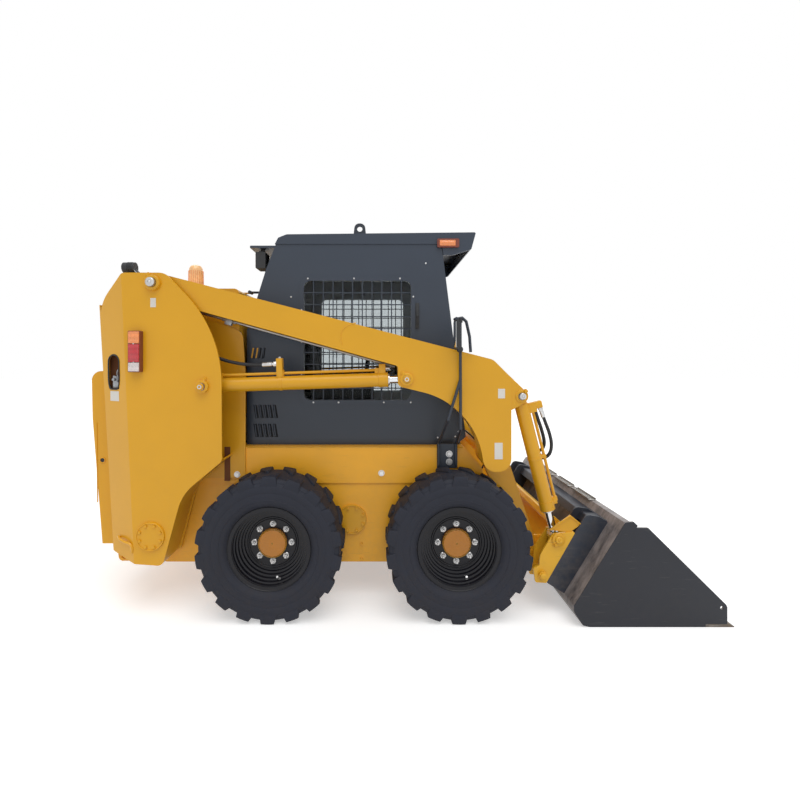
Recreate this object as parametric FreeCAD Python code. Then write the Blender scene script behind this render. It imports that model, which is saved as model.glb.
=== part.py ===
"""Skid steer loader with a cab, lift arms and a bucket, as separate solids.

Millimetres. +X points forward to the bucket, +Z up. The origin is on the ground, under the
middle of the machine. The machine's right side is -Y, and its left side mirrors it.
"""
import os
import FreeCAD
import Part
from math import atan2, cos, degrees, hypot, radians, sin, tan

# ---------------------------------------------------------------- driving dimensions
WHEELBASE = 1002.0
REAR_AXLE_X = -669.0
TYRE_RADIUS = 387.0
TYRE_WIDTH = 262.0

HULL_HALF_WIDTH = 520.0        # lower hull side
HULL_BAND = 10.0               # raised band along the top of the hull side
HULL_TOP = 878.0
HULL_BOTTOM = 205.0
HULL_WALL = 125.0              # chain case on each side of the hull
BELLY_PLATE = 12.0
TYRE_GAP = 33.0                # from the band to the tyre's inner face

TOWER_PLATE = 10.0
TOWER_INNER_PLATE = 12.0
ARM_GAP = 48.0                 # from the tower's inner plate to the arm
ARM_SIDE_CLEARANCE = 20.0      # from the arm to the tower's outer plate
ARM_SLOT_WALL = 22.0           # the arm's cheek beside the lift rod's eye
EYE_SIDE_GAP = 3.0             # beside the lift cylinder's eyes

LEG_CLEARANCE = 18.0           # from the tyre's inner face to the lower leg
LEG_WIDTH = 70.0
EAR_PLATE = 12.0
EAR_CLEARANCE = 8.0            # beside the tilt cylinder's eye
COUPLER_PLATE = 12.0
PLATE_CLEARANCE = 5.0          # beside a moving leg or cylinder eye
COUPLER_FACE_PLATE = 14.0

BUCKET_HALF_WIDTH = 840.0
BUCKET_SIDE = 12.0
BUCKET_SHEET = 10.0
BUCKET_BACK_LEAN = 31.6        # degrees from upright
CUTTING_EDGE = 16.0

CAB_INSET = 60.0               # from the hull's side to the cab's side
CAB_WALL = 30.0
CAB_TOP = 2074.0
CAB_BACK_X = REAR_AXLE_X - 208.0

PIN_CLEARANCE = 0.06           # radial, at every pin that turns
PIVOT_PIN_RADIUS = 25.0
CYLINDER_PIN_RADIUS = 20.0

LIFT_BARREL_RADIUS = 39.0
LIFT_ROD_RADIUS = 23.0
TILT_BARREL_RADIUS = 38.0
TILT_ROD_RADIUS = 21.0
CYLINDER_EYE_WIDTH = 70.0
ROD_CLEARANCE = 0.3            # radial, between a rod and its barrel

# ---------------------------------------------------------------- stations that follow
FRONT_AXLE_X = REAR_AXLE_X + WHEELBASE
AXLE_Z = TYRE_RADIUS
TYRE_FRONT_X = FRONT_AXLE_X + TYRE_RADIUS

BAND_Y = HULL_HALF_WIDTH + HULL_BAND
CAB_HALF_WIDTH = HULL_HALF_WIDTH - CAB_INSET
TYRE_INNER_Y = BAND_Y + TYRE_GAP
TYRE_Y = TYRE_INNER_Y + TYRE_WIDTH / 2

TOWER_INNER_Y = BAND_Y + TOWER_INNER_PLATE
ARM_WIDTH = CYLINDER_EYE_WIDTH + 2 * (EYE_SIDE_GAP + ARM_SLOT_WALL)
ARM_INNER_Y = TOWER_INNER_Y + ARM_GAP
ARM_OUTER_Y = ARM_INNER_Y + ARM_WIDTH
ARM_Y = ARM_INNER_Y + ARM_WIDTH / 2
TOWER_OUTER_Y = ARM_OUTER_Y + ARM_SIDE_CLEARANCE + TOWER_PLATE

LEG_OUTER_Y = TYRE_INNER_Y - LEG_CLEARANCE
LEG_INNER_Y = LEG_OUTER_Y - LEG_WIDTH
EYE_INNER_Y = ARM_Y - CYLINDER_EYE_WIDTH / 2
EYE_OUTER_Y = ARM_Y + CYLINDER_EYE_WIDTH / 2
COUPLER_INNER_Y = LEG_INNER_Y - PLATE_CLEARANCE - COUPLER_PLATE
COUPLER_OUTER_Y = EYE_OUTER_Y + PLATE_CLEARANCE + COUPLER_PLATE + 4.0

BOOM_PIVOT = (REAR_AXLE_X - 638.0, 1799.0)
LIFT_BASE = (REAR_AXLE_X - 372.0, 1240.0)
LIFT_PIN = (FRONT_AXLE_X - 272.0, 1278.0)
TILT_BASE = (TYRE_FRONT_X - 30.0, 1185.0)
COUPLER_PIVOT = (TYRE_FRONT_X + 80.0, 214.0)
TILT_PIN = (COUPLER_PIVOT[0] + 88.0, 405.0)
CROSS_TUBE = (TYRE_FRONT_X - 150.0, 850.0)
BUCKET_HEEL = (COUPLER_PIVOT[0] + 120.0, 110.0)

PIVOT_BORE_RADIUS = PIVOT_PIN_RADIUS + PIN_CLEARANCE
PIN_BORE_RADIUS = CYLINDER_PIN_RADIUS + PIN_CLEARANCE

ACROSS = FreeCAD.Vector(0, 1, 0)
FORWARD = FreeCAD.Vector(1, 0, 0)
UP = FreeCAD.Vector(0, 0, 1)


# ---------------------------------------------------------------- shape helpers
def outline(corners, y=0.0):
    """A closed wire in the XZ plane at y, from corners of x, z and corner radius."""
    starts, ends, middles = [], [], []
    count = len(corners)
    for index, (x, z, radius) in enumerate(corners):
        point = FreeCAD.Vector(x, y, z)
        before = corners[index - 1]
        after = corners[(index + 1) % count]
        to_before = (FreeCAD.Vector(before[0], y, before[1]) - point).normalize()
        to_after = (FreeCAD.Vector(after[0], y, after[1]) - point).normalize()
        if radius > 0:
            half = to_before.getAngle(to_after) / 2
            reach = radius / tan(half)
            middle = (to_before + to_after).normalize()
            starts.append(point + to_before * reach)
            ends.append(point + to_after * reach)
            middles.append(point + middle * (radius / sin(half) - radius))
        else:
            starts.append(point)
            ends.append(point)
            middles.append(None)
    edges = []
    for index in range(count):
        if middles[index] is not None:
            edges.append(Part.Arc(starts[index], middles[index], ends[index]).toShape())
        following = starts[(index + 1) % count]
        if (following - ends[index]).Length > 0.001:
            edges.append(Part.LineSegment(ends[index], following).toShape())
    return Part.Wire(edges)


def plate(corners, y_low, y_high):
    """A flat plate in the XZ plane, between two stations across the machine."""
    face = Part.Face(outline(corners, y_low))
    return face.extrude(ACROSS * (y_high - y_low))


def block(x_low, x_high, y_low, y_high, z_low, z_high):
    corner = FreeCAD.Vector(x_low, y_low, z_low)
    return Part.makeBox(x_high - x_low, y_high - y_low, z_high - z_low, corner)


def across_cylinder(place, radius, y_low, y_high):
    """A round bar across the machine at place, which is x and z."""
    start = FreeCAD.Vector(place[0], y_low, place[1])
    return Part.makeCylinder(radius, y_high - y_low, start, ACROSS)


def bar(points, radius):
    """A round bar that follows straight runs, with a ball at each bend."""
    pieces = []
    for start, end in zip(points, points[1:]):
        run = FreeCAD.Vector(*end) - FreeCAD.Vector(*start)
        pieces.append(Part.makeCylinder(radius, run.Length, FreeCAD.Vector(*start), run))
    for bend in points[1:-1]:
        pieces.append(Part.makeSphere(radius, FreeCAD.Vector(*bend)))
    return join(pieces)


def join(shapes):
    first = shapes[0]
    if len(shapes) > 1:
        first = first.fuse(shapes[1:])
    return first.removeSplitter()


def mirrored(shape):
    """The same shape on the machine's other side."""
    return shape.mirror(FreeCAD.Vector(0, 0, 0), ACROSS)


def pair(shape):
    return Part.makeCompound([shape, mirrored(shape)])


def turned(profile, place_y):
    """A ring about the wheel axle from a closed profile of radius and y."""
    points = [FreeCAD.Vector(radius, place_y + y, 0) for radius, y in profile]
    face = Part.Face(Part.makePolygon(points + points[:1]))
    return face.revolve(FreeCAD.Vector(0, 0, 0), ACROSS, 360)


def line_x(low, high, z):
    """Where the line through two points of x and z crosses height z."""
    return low[0] + (z - low[1]) * (high[0] - low[0]) / (high[1] - low[1])


def line_z(start, end, x):
    """The height at x of the line through two points of x and z."""
    return start[1] + (x - start[0]) * (end[1] - start[1]) / (end[0] - start[0])


def save(node, shape):
    shape.exportStep("parts/" + node + ".step")


# ---------------------------------------------------------------- hull
HULL_BACK_X = REAR_AXLE_X - 891.0
HULL_FRONT_X = TYRE_FRONT_X - 130.0
BAND_BOTTOM = 667.0
FOOTWELL_BACK_X = REAR_AXLE_X + 211.0
COVER_RADIUS = 85.0
COVER_X = REAR_AXLE_X + 422.0
COVER_Z = 454.0


def hull():
    """The welded hull: chain cases, belly, sloping front and the wall behind the seat."""
    side = [
        (HULL_BACK_X, 262.0, 20),
        (REAR_AXLE_X - 661.0, HULL_BOTTOM, 0),
        (HULL_FRONT_X - 30.0, HULL_BOTTOM, 60),
        (HULL_FRONT_X, 420.0, 40),
        (HULL_FRONT_X - 80.0, 760.0, 20),
        (HULL_FRONT_X - 185.0, HULL_TOP, 0),
        (HULL_BACK_X, HULL_TOP, 0),
    ]
    body = plate(side, -HULL_HALF_WIDTH, HULL_HALF_WIDTH)
    band = [
        (HULL_BACK_X, BAND_BOTTOM, 0),
        (HULL_FRONT_X - 60.0, BAND_BOTTOM, 0),
        (HULL_FRONT_X - 80.0, 760.0, 20),
        (HULL_FRONT_X - 185.0, HULL_TOP, 0),
        (HULL_BACK_X, HULL_TOP, 0),
    ]
    body = join([body, plate(band, -BAND_Y, BAND_Y)])
    inside_y = HULL_HALF_WIDTH - HULL_WALL
    floor_z = HULL_BOTTOM + BELLY_PLATE
    above = HULL_TOP + 100.0
    engine_bay = block(HULL_BACK_X + 40.0, FOOTWELL_BACK_X - 12.0, -inside_y, inside_y, 274.0, above)
    engine_sump = block(REAR_AXLE_X - 600.0, FOOTWELL_BACK_X - 12.0, -inside_y, inside_y, floor_z, 274.0)
    back_opening = block(HULL_BACK_X - 10.0, HULL_BACK_X + 41.0, -inside_y, inside_y, 340.0, above)
    footwell = [
        (FOOTWELL_BACK_X, floor_z, 0),
        (HULL_FRONT_X - 60.0, floor_z, 0),
        (HULL_FRONT_X - 35.0, 420.0, 0),
        (HULL_FRONT_X - 112.0, 750.0, 0),
        (HULL_FRONT_X - 305.0, above, 0),
        (FOOTWELL_BACK_X, above, 0),
    ]
    return body.cut([engine_bay, engine_sump, back_opening, plate(footwell, -inside_y, inside_y)])


def side_covers():
    """Round bolted covers: one on each hull side and one at each tower's foot."""
    covers = []
    for side in (-1, 1):
        hull_face = side * HULL_HALF_WIDTH
        tower_face = side * TOWER_OUTER_Y
        for place, face, radius in (
            ((COVER_X, COVER_Z), hull_face, COVER_RADIUS),
            ((REAR_AXLE_X - 651.0, 434.0), tower_face, 77.0),
        ):
            low = min(face, face + side * 8.0)
            covers.append(across_cylinder(place, radius, low, low + 8.0))
    return Part.makeCompound(covers)


def engine_block():
    """The engine as one plain mass on the belly plate."""
    floor_z = HULL_BOTTOM + BELLY_PLATE
    return block(REAR_AXLE_X - 590.0, REAR_AXLE_X + 60.0, -250.0, 250.0, floor_z, floor_z + 560.0)


# ---------------------------------------------------------------- towers
TOWER_TOP = 1854.0
TOWER_LEAN = 0.045             # how far the crease moves back per mm of height
CREASE_X = REAR_AXLE_X - 741.0
CREASE_Z = 300.0
CHAMFER_RUN = 200.0
CHAMFER_STEP = 108.0
TOWER_BACK_LOW = (REAR_AXLE_X - 896.0, 325.0)
TOWER_BACK_HIGH = (REAR_AXLE_X - 983.0, 1690.0)
TOWER_FLOOR_FRONT = (REAR_AXLE_X - 731.0, 283.0)
TOWER_FLOOR_BACK = (REAR_AXLE_X - 890.0, 324.0)
PIVOT_BOSS_RADIUS = 43.0
LIFT_BOSS_RADIUS = 36.0


def tower_silhouette():
    """The tower's outline from the side."""
    return [
        (REAR_AXLE_X - 806.0, TOWER_TOP, 40),
        (REAR_AXLE_X - 573.5, TOWER_TOP, 80),
        (REAR_AXLE_X - 271.0, 1534.0, 700),
        (REAR_AXLE_X - 267.0, 838.0, 28),
        (REAR_AXLE_X - 482.0, 658.0, 250),
        (REAR_AXLE_X - 587.0, 273.0, 35),
        (REAR_AXLE_X - 731.0, 283.0, 20),
        TOWER_BACK_LOW + (20,),
        TOWER_BACK_HIGH + (200,),
    ]


def tower_inner_outline():
    """The inner plate, which stands on the hull side and carries the pins' inner ends."""
    return [
        (REAR_AXLE_X - 823.0, 1842.0, 40),
        (REAR_AXLE_X - 573.5, 1842.0, 80),
        (REAR_AXLE_X - 420.0, 1622.0, 60),
        (REAR_AXLE_X - 211.0, 1548.0, 70),
        (REAR_AXLE_X - 195.0, 1300.0, 0),
        (REAR_AXLE_X - 195.0, 700.0, 20),
        (REAR_AXLE_X - 461.0, 700.0, 60),
        (REAR_AXLE_X - 570.0, 285.0, 20),
        (REAR_AXLE_X - 731.0, 291.0, 20),
        (REAR_AXLE_X - 886.0, 335.0, 20),
        (REAR_AXLE_X - 970.0, 1690.0, 180),
    ]


def leaned_prism(plan):
    """A plan of x and y, drawn at the crease's foot and leaned back over the tower's height."""
    low, high = 200.0, TOWER_TOP + 20.0
    shift = -TOWER_LEAN * (low - CREASE_Z)
    points = [FreeCAD.Vector(x + shift, y, low) for x, y in plan]
    face = Part.Face(Part.makePolygon(points + points[:1]))
    rise = high - low
    return face.extrude(FreeCAD.Vector(-TOWER_LEAN * rise, 0, rise))


def tower_plan(inset, front_x):
    """Half of the tower's plan: the outer side and the chamfer behind the crease."""
    reach = 1.25
    length = hypot(CHAMFER_RUN, CHAMFER_STEP)
    slip = inset * tan(atan2(CHAMFER_STEP, CHAMFER_RUN) / 2)
    outer = TOWER_OUTER_Y - inset
    return [
        (front_x, outer),
        (CREASE_X + slip, outer),
        (CREASE_X + slip - CHAMFER_RUN * reach * (length - inset * 0.2) / length,
         outer - CHAMFER_STEP * reach * (length - inset * 0.2) / length),
    ]


def tower(side):
    """One tower: outer plate and chamfer, inner plate, flanges, cap and pin bosses."""
    front_x = REAR_AXLE_X - 200.0
    silhouette = plate(tower_silhouette(), 0.0, TOWER_OUTER_Y + 20.0)
    outer_line = tower_plan(0.0, front_x)
    inner_line = tower_plan(TOWER_PLATE, front_x)
    skin = leaned_prism(outer_line + inner_line[::-1]).common(silhouette)
    envelope = leaned_prism(outer_line + [(outer_line[-1][0], BAND_Y), (front_x, BAND_Y)])

    inner_plate = plate(tower_inner_outline(), BAND_Y, TOWER_INNER_Y)
    back_outline = [
        (TOWER_BACK_LOW[0], TOWER_BACK_LOW[1], 0),
        (TOWER_BACK_HIGH[0], TOWER_BACK_HIGH[1], 0),
        (TOWER_BACK_HIGH[0] + 8.0, TOWER_BACK_HIGH[1], 0),
        (TOWER_BACK_LOW[0] + 8.0, TOWER_BACK_LOW[1], 0),
    ]
    back = plate(back_outline, TOWER_INNER_Y, TOWER_OUTER_Y).common(envelope)

    cap_outline = [
        (REAR_AXLE_X - 975.0, 1690.0, 0),
        (REAR_AXLE_X - 806.0, TOWER_TOP, 40),
        (REAR_AXLE_X - 712.0, TOWER_TOP, 0),
        (REAR_AXLE_X - 712.0, TOWER_TOP - 8.0, 0),
        (REAR_AXLE_X - 803.0, TOWER_TOP - 8.0, 36),
        (REAR_AXLE_X - 960.0, 1690.0, 0),
    ]
    cap = plate(cap_outline, TOWER_INNER_Y, TOWER_OUTER_Y).common(envelope).common(silhouette)

    floor_outline = [
        (REAR_AXLE_X - 587.0, 273.0, 0),
        TOWER_FLOOR_FRONT + (0,),
        TOWER_FLOOR_BACK + (0,),
        (REAR_AXLE_X - 890.0, 333.0, 0),
        (REAR_AXLE_X - 731.0, 292.0, 0),
        (REAR_AXLE_X - 585.0, 282.0, 0),
    ]
    floor = plate(floor_outline, BAND_Y, TOWER_OUTER_Y).common(envelope).common(silhouette)

    arch_outline = [
        (REAR_AXLE_X - 587.0, 273.0, 34),
        (REAR_AXLE_X - 482.0, 658.0, 250),
        (REAR_AXLE_X - 268.0, 836.0, 0),
        (REAR_AXLE_X - 276.0, 842.0, 0),
        (REAR_AXLE_X - 489.0, 664.0, 259),
        (REAR_AXLE_X - 596.0, 273.0, 0),
    ]
    arch = plate(arch_outline, TOWER_INNER_Y - 6.0, TOWER_OUTER_Y - 5.0).common(silhouette)

    slot_x, slot_z, slot_half = REAR_AXLE_X - 874.0, 1371.0, 39.5
    slot = join([
        block(slot_x - slot_half, slot_x + slot_half, TOWER_INNER_Y + 60.0, TOWER_OUTER_Y + 10.0,
              1224.0, slot_z),
        across_cylinder((slot_x, slot_z), slot_half, TOWER_INNER_Y + 60.0, TOWER_OUTER_Y + 10.0),
    ])

    eye_low = EYE_INNER_Y - EYE_SIDE_GAP
    eye_high = EYE_OUTER_Y + EYE_SIDE_GAP
    bosses = [
        across_cylinder(BOOM_PIVOT, PIVOT_BOSS_RADIUS, TOWER_OUTER_Y - TOWER_PLATE, TOWER_OUTER_Y + 14.0),
        across_cylinder(LIFT_BASE, LIFT_BOSS_RADIUS, BAND_Y, eye_low),
        across_cylinder(LIFT_BASE, LIFT_BOSS_RADIUS, eye_high, TOWER_OUTER_Y + 12.0),
    ]
    body = join([skin, inner_plate, back, cap, floor, arch] + bosses)
    holes = [
        across_cylinder(BOOM_PIVOT, PIVOT_BORE_RADIUS, BAND_Y - 1.0, TOWER_OUTER_Y + 30.0),
        across_cylinder(LIFT_BASE, PIN_BORE_RADIUS, BAND_Y - 1.0, TOWER_OUTER_Y + 30.0),
        slot,
    ]
    body = body.cut(holes)
    return mirrored(body) if side < 0 else body


def tower_pins():
    """The pins on which the arms and the lift cylinders turn."""
    pivot = across_cylinder(BOOM_PIVOT, PIVOT_PIN_RADIUS, BAND_Y, TOWER_OUTER_Y + 39.0)
    base = across_cylinder(LIFT_BASE, CYLINDER_PIN_RADIUS, BAND_Y, TOWER_OUTER_Y + 18.0)
    shapes = [pivot, base, mirrored(pivot), mirrored(base)]
    return Part.makeCompound(shapes)


# ---------------------------------------------------------------- engine cover and rear door
HOOD_HALF_WIDTH = BAND_Y - 6.0
HOOD_TOP = 1800.0
HOOD_BOTTOM = 1335.0
HOOD_SHEET = 6.0
HOOD_FRONT_X = CAB_BACK_X - 28.0
HOOD_HINGE = (HOOD_FRONT_X + 8.0, HOOD_TOP + 8.0)


def hood_outline(inset):
    bottom = HOOD_BOTTOM if inset == 0 else HOOD_BOTTOM - 1.0
    return [
        (REAR_AXLE_X - 971.0 + inset, bottom, 0),
        (REAR_AXLE_X - 971.0 + inset, 1660.0 - inset / 2, 120),
        (REAR_AXLE_X - 850.0 + inset / 2, HOOD_TOP - inset, 100),
        (HOOD_FRONT_X - inset, HOOD_TOP - inset, 30),
        (HOOD_FRONT_X - inset, bottom, 0),
    ]


def engine_hood():
    """The cover over the engine, which lifts at its rear."""
    shell = plate(hood_outline(0), -HOOD_HALF_WIDTH, HOOD_HALF_WIDTH)
    inner_y = HOOD_HALF_WIDTH - HOOD_SHEET
    shell = shell.cut(plate(hood_outline(HOOD_SHEET), -inner_y, inner_y))
    vents = []
    for side in (-1, 1):
        for row in range(4):
            z = 1420.0 + row * 45.0
            vents.append(block(REAR_AXLE_X - 976.0, REAR_AXLE_X - 960.0,
                               side * 230.0 - 130.0, side * 230.0 + 130.0, z, z + 14.0))
    return with_hood_leaves(shell.cut(vents))


HINGE_PIN_RADIUS = 6.0
HINGE_KNUCKLE_RADIUS = 10.0
HINGE_LENGTH = 60.0            # along the pin
HINGE_END = 14.0               # each fixed knuckle
HINGE_LEAF = 6.0
HINGE_SLACK = 2.0              # how much shorter the fixed leaf is than its knuckle


def hinge_fixed(middle, direction):
    """The pin and the two end knuckles, about middle, along direction."""
    shapes = []
    start = middle - direction * (HINGE_LENGTH / 2)
    shapes.append(Part.makeCylinder(HINGE_PIN_RADIUS, HINGE_LENGTH, start, direction))
    for low in (0.0, HINGE_LENGTH - HINGE_END):
        shapes.append(Part.makeCylinder(HINGE_KNUCKLE_RADIUS, HINGE_END, start + direction * low, direction))
    return join(shapes)


def hinge_swing(middle, direction):
    """The middle knuckle, which turns on the pin with its leaf."""
    length = HINGE_LENGTH - 2 * HINGE_END - 1.0
    return Part.makeCylinder(HINGE_KNUCKLE_RADIUS, length, middle - direction * (length / 2), direction)


def hinge_bore(middle, direction):
    start = middle - direction * HINGE_LENGTH
    return Part.makeCylinder(HINGE_PIN_RADIUS + PIN_CLEARANCE, 2 * HINGE_LENGTH, start, direction)


HOOD_HINGE_YS = (-300.0, 300.0)


def with_hood_leaves(shell):
    """The engine cover with its hinge leaves on top."""
    half = HINGE_LENGTH / 2 - HINGE_END - 0.5
    x, z = HOOD_HINGE
    for y in HOOD_HINGE_YS:
        middle = FreeCAD.Vector(x, y, z)
        leaf = block(x - 56.0, x, y - half, y + half, HOOD_TOP, HOOD_TOP + HINGE_LEAF)
        shell = join([shell, leaf, hinge_swing(middle, ACROSS)]).cut(hinge_bore(middle, ACROSS))
    return shell


DOOR_OVERLAP = 18.0            # the rear door's edge, outside the hull's band
DOOR_HALF_WIDTH = BAND_Y + DOOR_OVERLAP
DOOR_SHEET = 6.0
REAR_DOOR_RIM_LOW = (REAR_AXLE_X - 903.0, 322.0)
REAR_DOOR_RIM_HIGH = (REAR_AXLE_X - 965.0, 1319.0)
REAR_DOOR_HINGE_Y = DOOR_HALF_WIDTH + 12.0
REAR_DOOR_HINGE_SET = 8.0      # the hinge line, behind the door's rim
REAR_DOOR_HINGE_ZS = (470.0, 1180.0)


def rear_door_hinge_frame(z):
    x = line_x(REAR_DOOR_RIM_LOW, REAR_DOOR_RIM_HIGH, z) - REAR_DOOR_HINGE_SET
    run = FreeCAD.Vector(REAR_DOOR_RIM_LOW[0] - REAR_DOOR_RIM_HIGH[0], 0,
                         REAR_DOOR_RIM_LOW[1] - REAR_DOOR_RIM_HIGH[1])
    return FreeCAD.Vector(x, REAR_DOOR_HINGE_Y, z), run.normalize()


def rear_door_outline(inset):
    return [
        (REAR_AXLE_X - 1020.0 + inset, 322.0 + inset, 0),
        (REAR_AXLE_X - 1077.0 + inset, 1048.0, 0),
        (REAR_AXLE_X - 1083.0 + inset, 1319.0 - inset, 55 - inset),
        (REAR_DOOR_RIM_HIGH[0] + inset, REAR_DOOR_RIM_HIGH[1] - inset, 0),
        (REAR_DOOR_RIM_LOW[0] + inset, REAR_DOOR_RIM_LOW[1] + inset, 0),
    ]


def rear_door():
    """The rear door, a shallow tray with a louvred window for the radiator."""
    tray = plate(rear_door_outline(0.0), -DOOR_HALF_WIDTH, DOOR_HALF_WIDTH)
    inner_y = DOOR_HALF_WIDTH - DOOR_SHEET
    hollow = plate(rear_door_outline(DOOR_SHEET), -inner_y, inner_y)
    tray = tray.cut([hollow, rear_grille_opening()])
    for z in REAR_DOOR_HINGE_ZS:
        middle, run = rear_door_hinge_frame(z)
        half = HINGE_LENGTH / 2 - HINGE_END - 0.5
        lug = block(middle.x - 5.0, middle.x + 5.0, DOOR_HALF_WIDTH, REAR_DOOR_HINGE_Y,
                    z - half + 1.0, z + half - 1.0)
        tray = join([tray, lug, hinge_swing(middle, run)]).cut(hinge_bore(middle, run))
    return tray


GRILLE_HALF_WIDTH = 330.0
GRILLE_LOW = 700.0
GRILLE_HIGH = 1180.0


def rear_grille_opening():
    return block(REAR_AXLE_X - 1100.0, REAR_AXLE_X - 1030.0,
                 -GRILLE_HALF_WIDTH, GRILLE_HALF_WIDTH, GRILLE_LOW, GRILLE_HIGH)


def rear_grille():
    """Slats across the rear door's window, in a frame that fills it."""
    depth = 14.0
    front = REAR_AXLE_X - 1064.0
    frame = block(front, front + depth, -GRILLE_HALF_WIDTH, GRILLE_HALF_WIDTH, GRILLE_LOW, GRILLE_HIGH)
    rail = 24.0
    slat_pitch = 36.0
    cuts = []
    z = GRILLE_LOW + rail
    while z + slat_pitch - 14.0 < GRILLE_HIGH - rail + 1.0:
        cuts.append(block(front - 1.0, front + depth + 1.0,
                          -GRILLE_HALF_WIDTH + rail, GRILLE_HALF_WIDTH - rail, z, z + slat_pitch - 14.0))
        z += slat_pitch
    return frame.cut(cuts)


# ---------------------------------------------------------------- cab
FRONT_SLOPE = 0.1263           # the cab front runs back per mm of height
CAB_FRONT_FOOT_X = TYRE_FRONT_X - 290.5
CAB_FRONT_FOOT_Z = 925.0


CAB_SLOPE_LOW = (CAB_BACK_X, 1560.0)
CAB_SLOPE_HIGH = (REAR_AXLE_X - 94.0, 1926.0)
CAB_HEAD_X = REAR_AXLE_X - 36.0


def cab_front_x(z):
    return CAB_FRONT_FOOT_X - (z - CAB_FRONT_FOOT_Z) * FRONT_SLOPE


def cab_side_outline():
    return [
        (CAB_BACK_X, HULL_TOP, 0),
        CAB_SLOPE_LOW + (60,),
        CAB_SLOPE_HIGH + (200,),
        (CAB_HEAD_X, CAB_TOP, 0),
        (cab_front_x(CAB_TOP), CAB_TOP, 0),
        (cab_front_x(CAB_FRONT_FOOT_Z), CAB_FRONT_FOOT_Z, 0),
        (CAB_FRONT_FOOT_X - 57.0, HULL_TOP, 12),
    ]


WINDOW_LOW = 1144.0
WINDOW_HIGH = 1855.0
WINDOW_BACK_X = REAR_AXLE_X + 132.0
WINDOW_FRONT_X = FRONT_AXLE_X - 231.0
WINDOW_CORNER = 40.0


def window_outline(grow):
    return [
        (WINDOW_BACK_X - grow, WINDOW_LOW - grow, WINDOW_CORNER + grow / 2),
        (WINDOW_FRONT_X + grow, WINDOW_LOW - grow, WINDOW_CORNER + grow / 2),
        (WINDOW_FRONT_X + grow, WINDOW_HIGH + grow, WINDOW_CORNER + grow / 2),
        (WINDOW_BACK_X - grow, WINDOW_HIGH + grow, WINDOW_CORNER + grow / 2),
    ]


def cab_side(side):
    inner = CAB_HALF_WIDTH - CAB_WALL
    wall = plate(cab_side_outline(), inner, CAB_HALF_WIDTH)
    wall = wall.cut(plate(window_outline(0.0), inner - 1.0, CAB_HALF_WIDTH + 1.0))
    return mirrored(wall) if side < 0 else wall


GUARD_BAR = 6.0
GUARD_FRAME = 26.0
GUARD_COLUMNS = 11
GUARD_ROWS = 10


def window_guard():
    """A welded grid of bars in a frame, on the outside of the side window."""
    near, far = CAB_HALF_WIDTH, CAB_HALF_WIDTH + GUARD_BAR
    frame = plate(window_outline(GUARD_FRAME), near, far).cut(plate(window_outline(0.0), near - 1, far + 1))
    bars = []
    pitch_x = (WINDOW_FRONT_X - WINDOW_BACK_X) / GUARD_COLUMNS
    pitch_z = (WINDOW_HIGH - WINDOW_LOW) / GUARD_ROWS
    for column in range(1, GUARD_COLUMNS):
        x = WINDOW_BACK_X + column * pitch_x
        bars.append(block(x - GUARD_BAR / 2, x + GUARD_BAR / 2, near, far,
                          WINDOW_LOW - 1.0, WINDOW_HIGH + 1.0))
    for row in range(1, GUARD_ROWS):
        z = WINDOW_LOW + row * pitch_z
        bars.append(block(WINDOW_BACK_X - 1.0, WINDOW_FRONT_X + 1.0, near, far,
                          z - GUARD_BAR / 2, z + GUARD_BAR / 2))
    return join([frame] + bars)


def side_window():
    """Glass in the middle of the side wall."""
    middle = CAB_HALF_WIDTH - CAB_WALL / 2
    return plate(window_outline(0.0), middle - 2.5, middle + 2.5)


ROOF_HALF_WIDTH = CAB_HALF_WIDTH + 6.0
ROOF_BACK_X = REAR_AXLE_X - 41.0
ROOF_CREST_BACK = (ROOF_BACK_X + 70.0, CAB_TOP + 58.0)
ROOF_CREST_FRONT = (TYRE_FRONT_X - 231.0, CAB_TOP + 70.0)


VISOR_WALL = 10.0


def cab_roof():
    """The roof with its hollow front visor and the lip behind."""
    back = ROOF_BACK_X
    visor = ROOF_CREST_FRONT[0]
    shape = [
        (back, CAB_TOP, 0),
        (back + 20.0, CAB_TOP + 38.0, 12),
        ROOF_CREST_BACK + (50,),
        ROOF_CREST_FRONT + (8,),
        (visor - 28.0, CAB_TOP - 32.0, 10),
        (visor - 137.0, CAB_TOP - 66.0, 8),
        (cab_front_x(CAB_TOP - 66.0) + 2.0, CAB_TOP - 66.0, 0),
        (cab_front_x(CAB_TOP) + 2.0, CAB_TOP, 0),
    ]
    lip = [
        (back - 149.0, CAB_TOP - 22.0, 0),
        (back - 149.0, CAB_TOP - 8.0, 4),
        (back + 1.0, CAB_TOP - 8.0, 0),
        (back - 4.0, CAB_TOP - 22.0, 0),
    ]
    wall_x = cab_front_x(CAB_TOP) + VISOR_WALL
    under = [
        (wall_x, CAB_TOP + 50.0, 0),
        (visor - VISOR_WALL, CAB_TOP + 60.0, 0),
        (visor - 28.0 - VISOR_WALL, CAB_TOP - 32.0, 0),
        (visor - 28.0 - VISOR_WALL, CAB_TOP - 80.0, 0),
        (wall_x, CAB_TOP - 80.0, 0),
    ]
    inner_y = ROOF_HALF_WIDTH - VISOR_WALL
    return join([
        plate(shape, -ROOF_HALF_WIDTH, ROOF_HALF_WIDTH),
        plate(lip, -CAB_HALF_WIDTH, CAB_HALF_WIDTH),
    ]).cut(plate(under, -inner_y, inner_y))


REAR_GLASS_LOW = 1830.0
REAR_GLASS_HIGH = 2030.0
REAR_GLASS_HALF_WIDTH = 340.0


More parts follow.
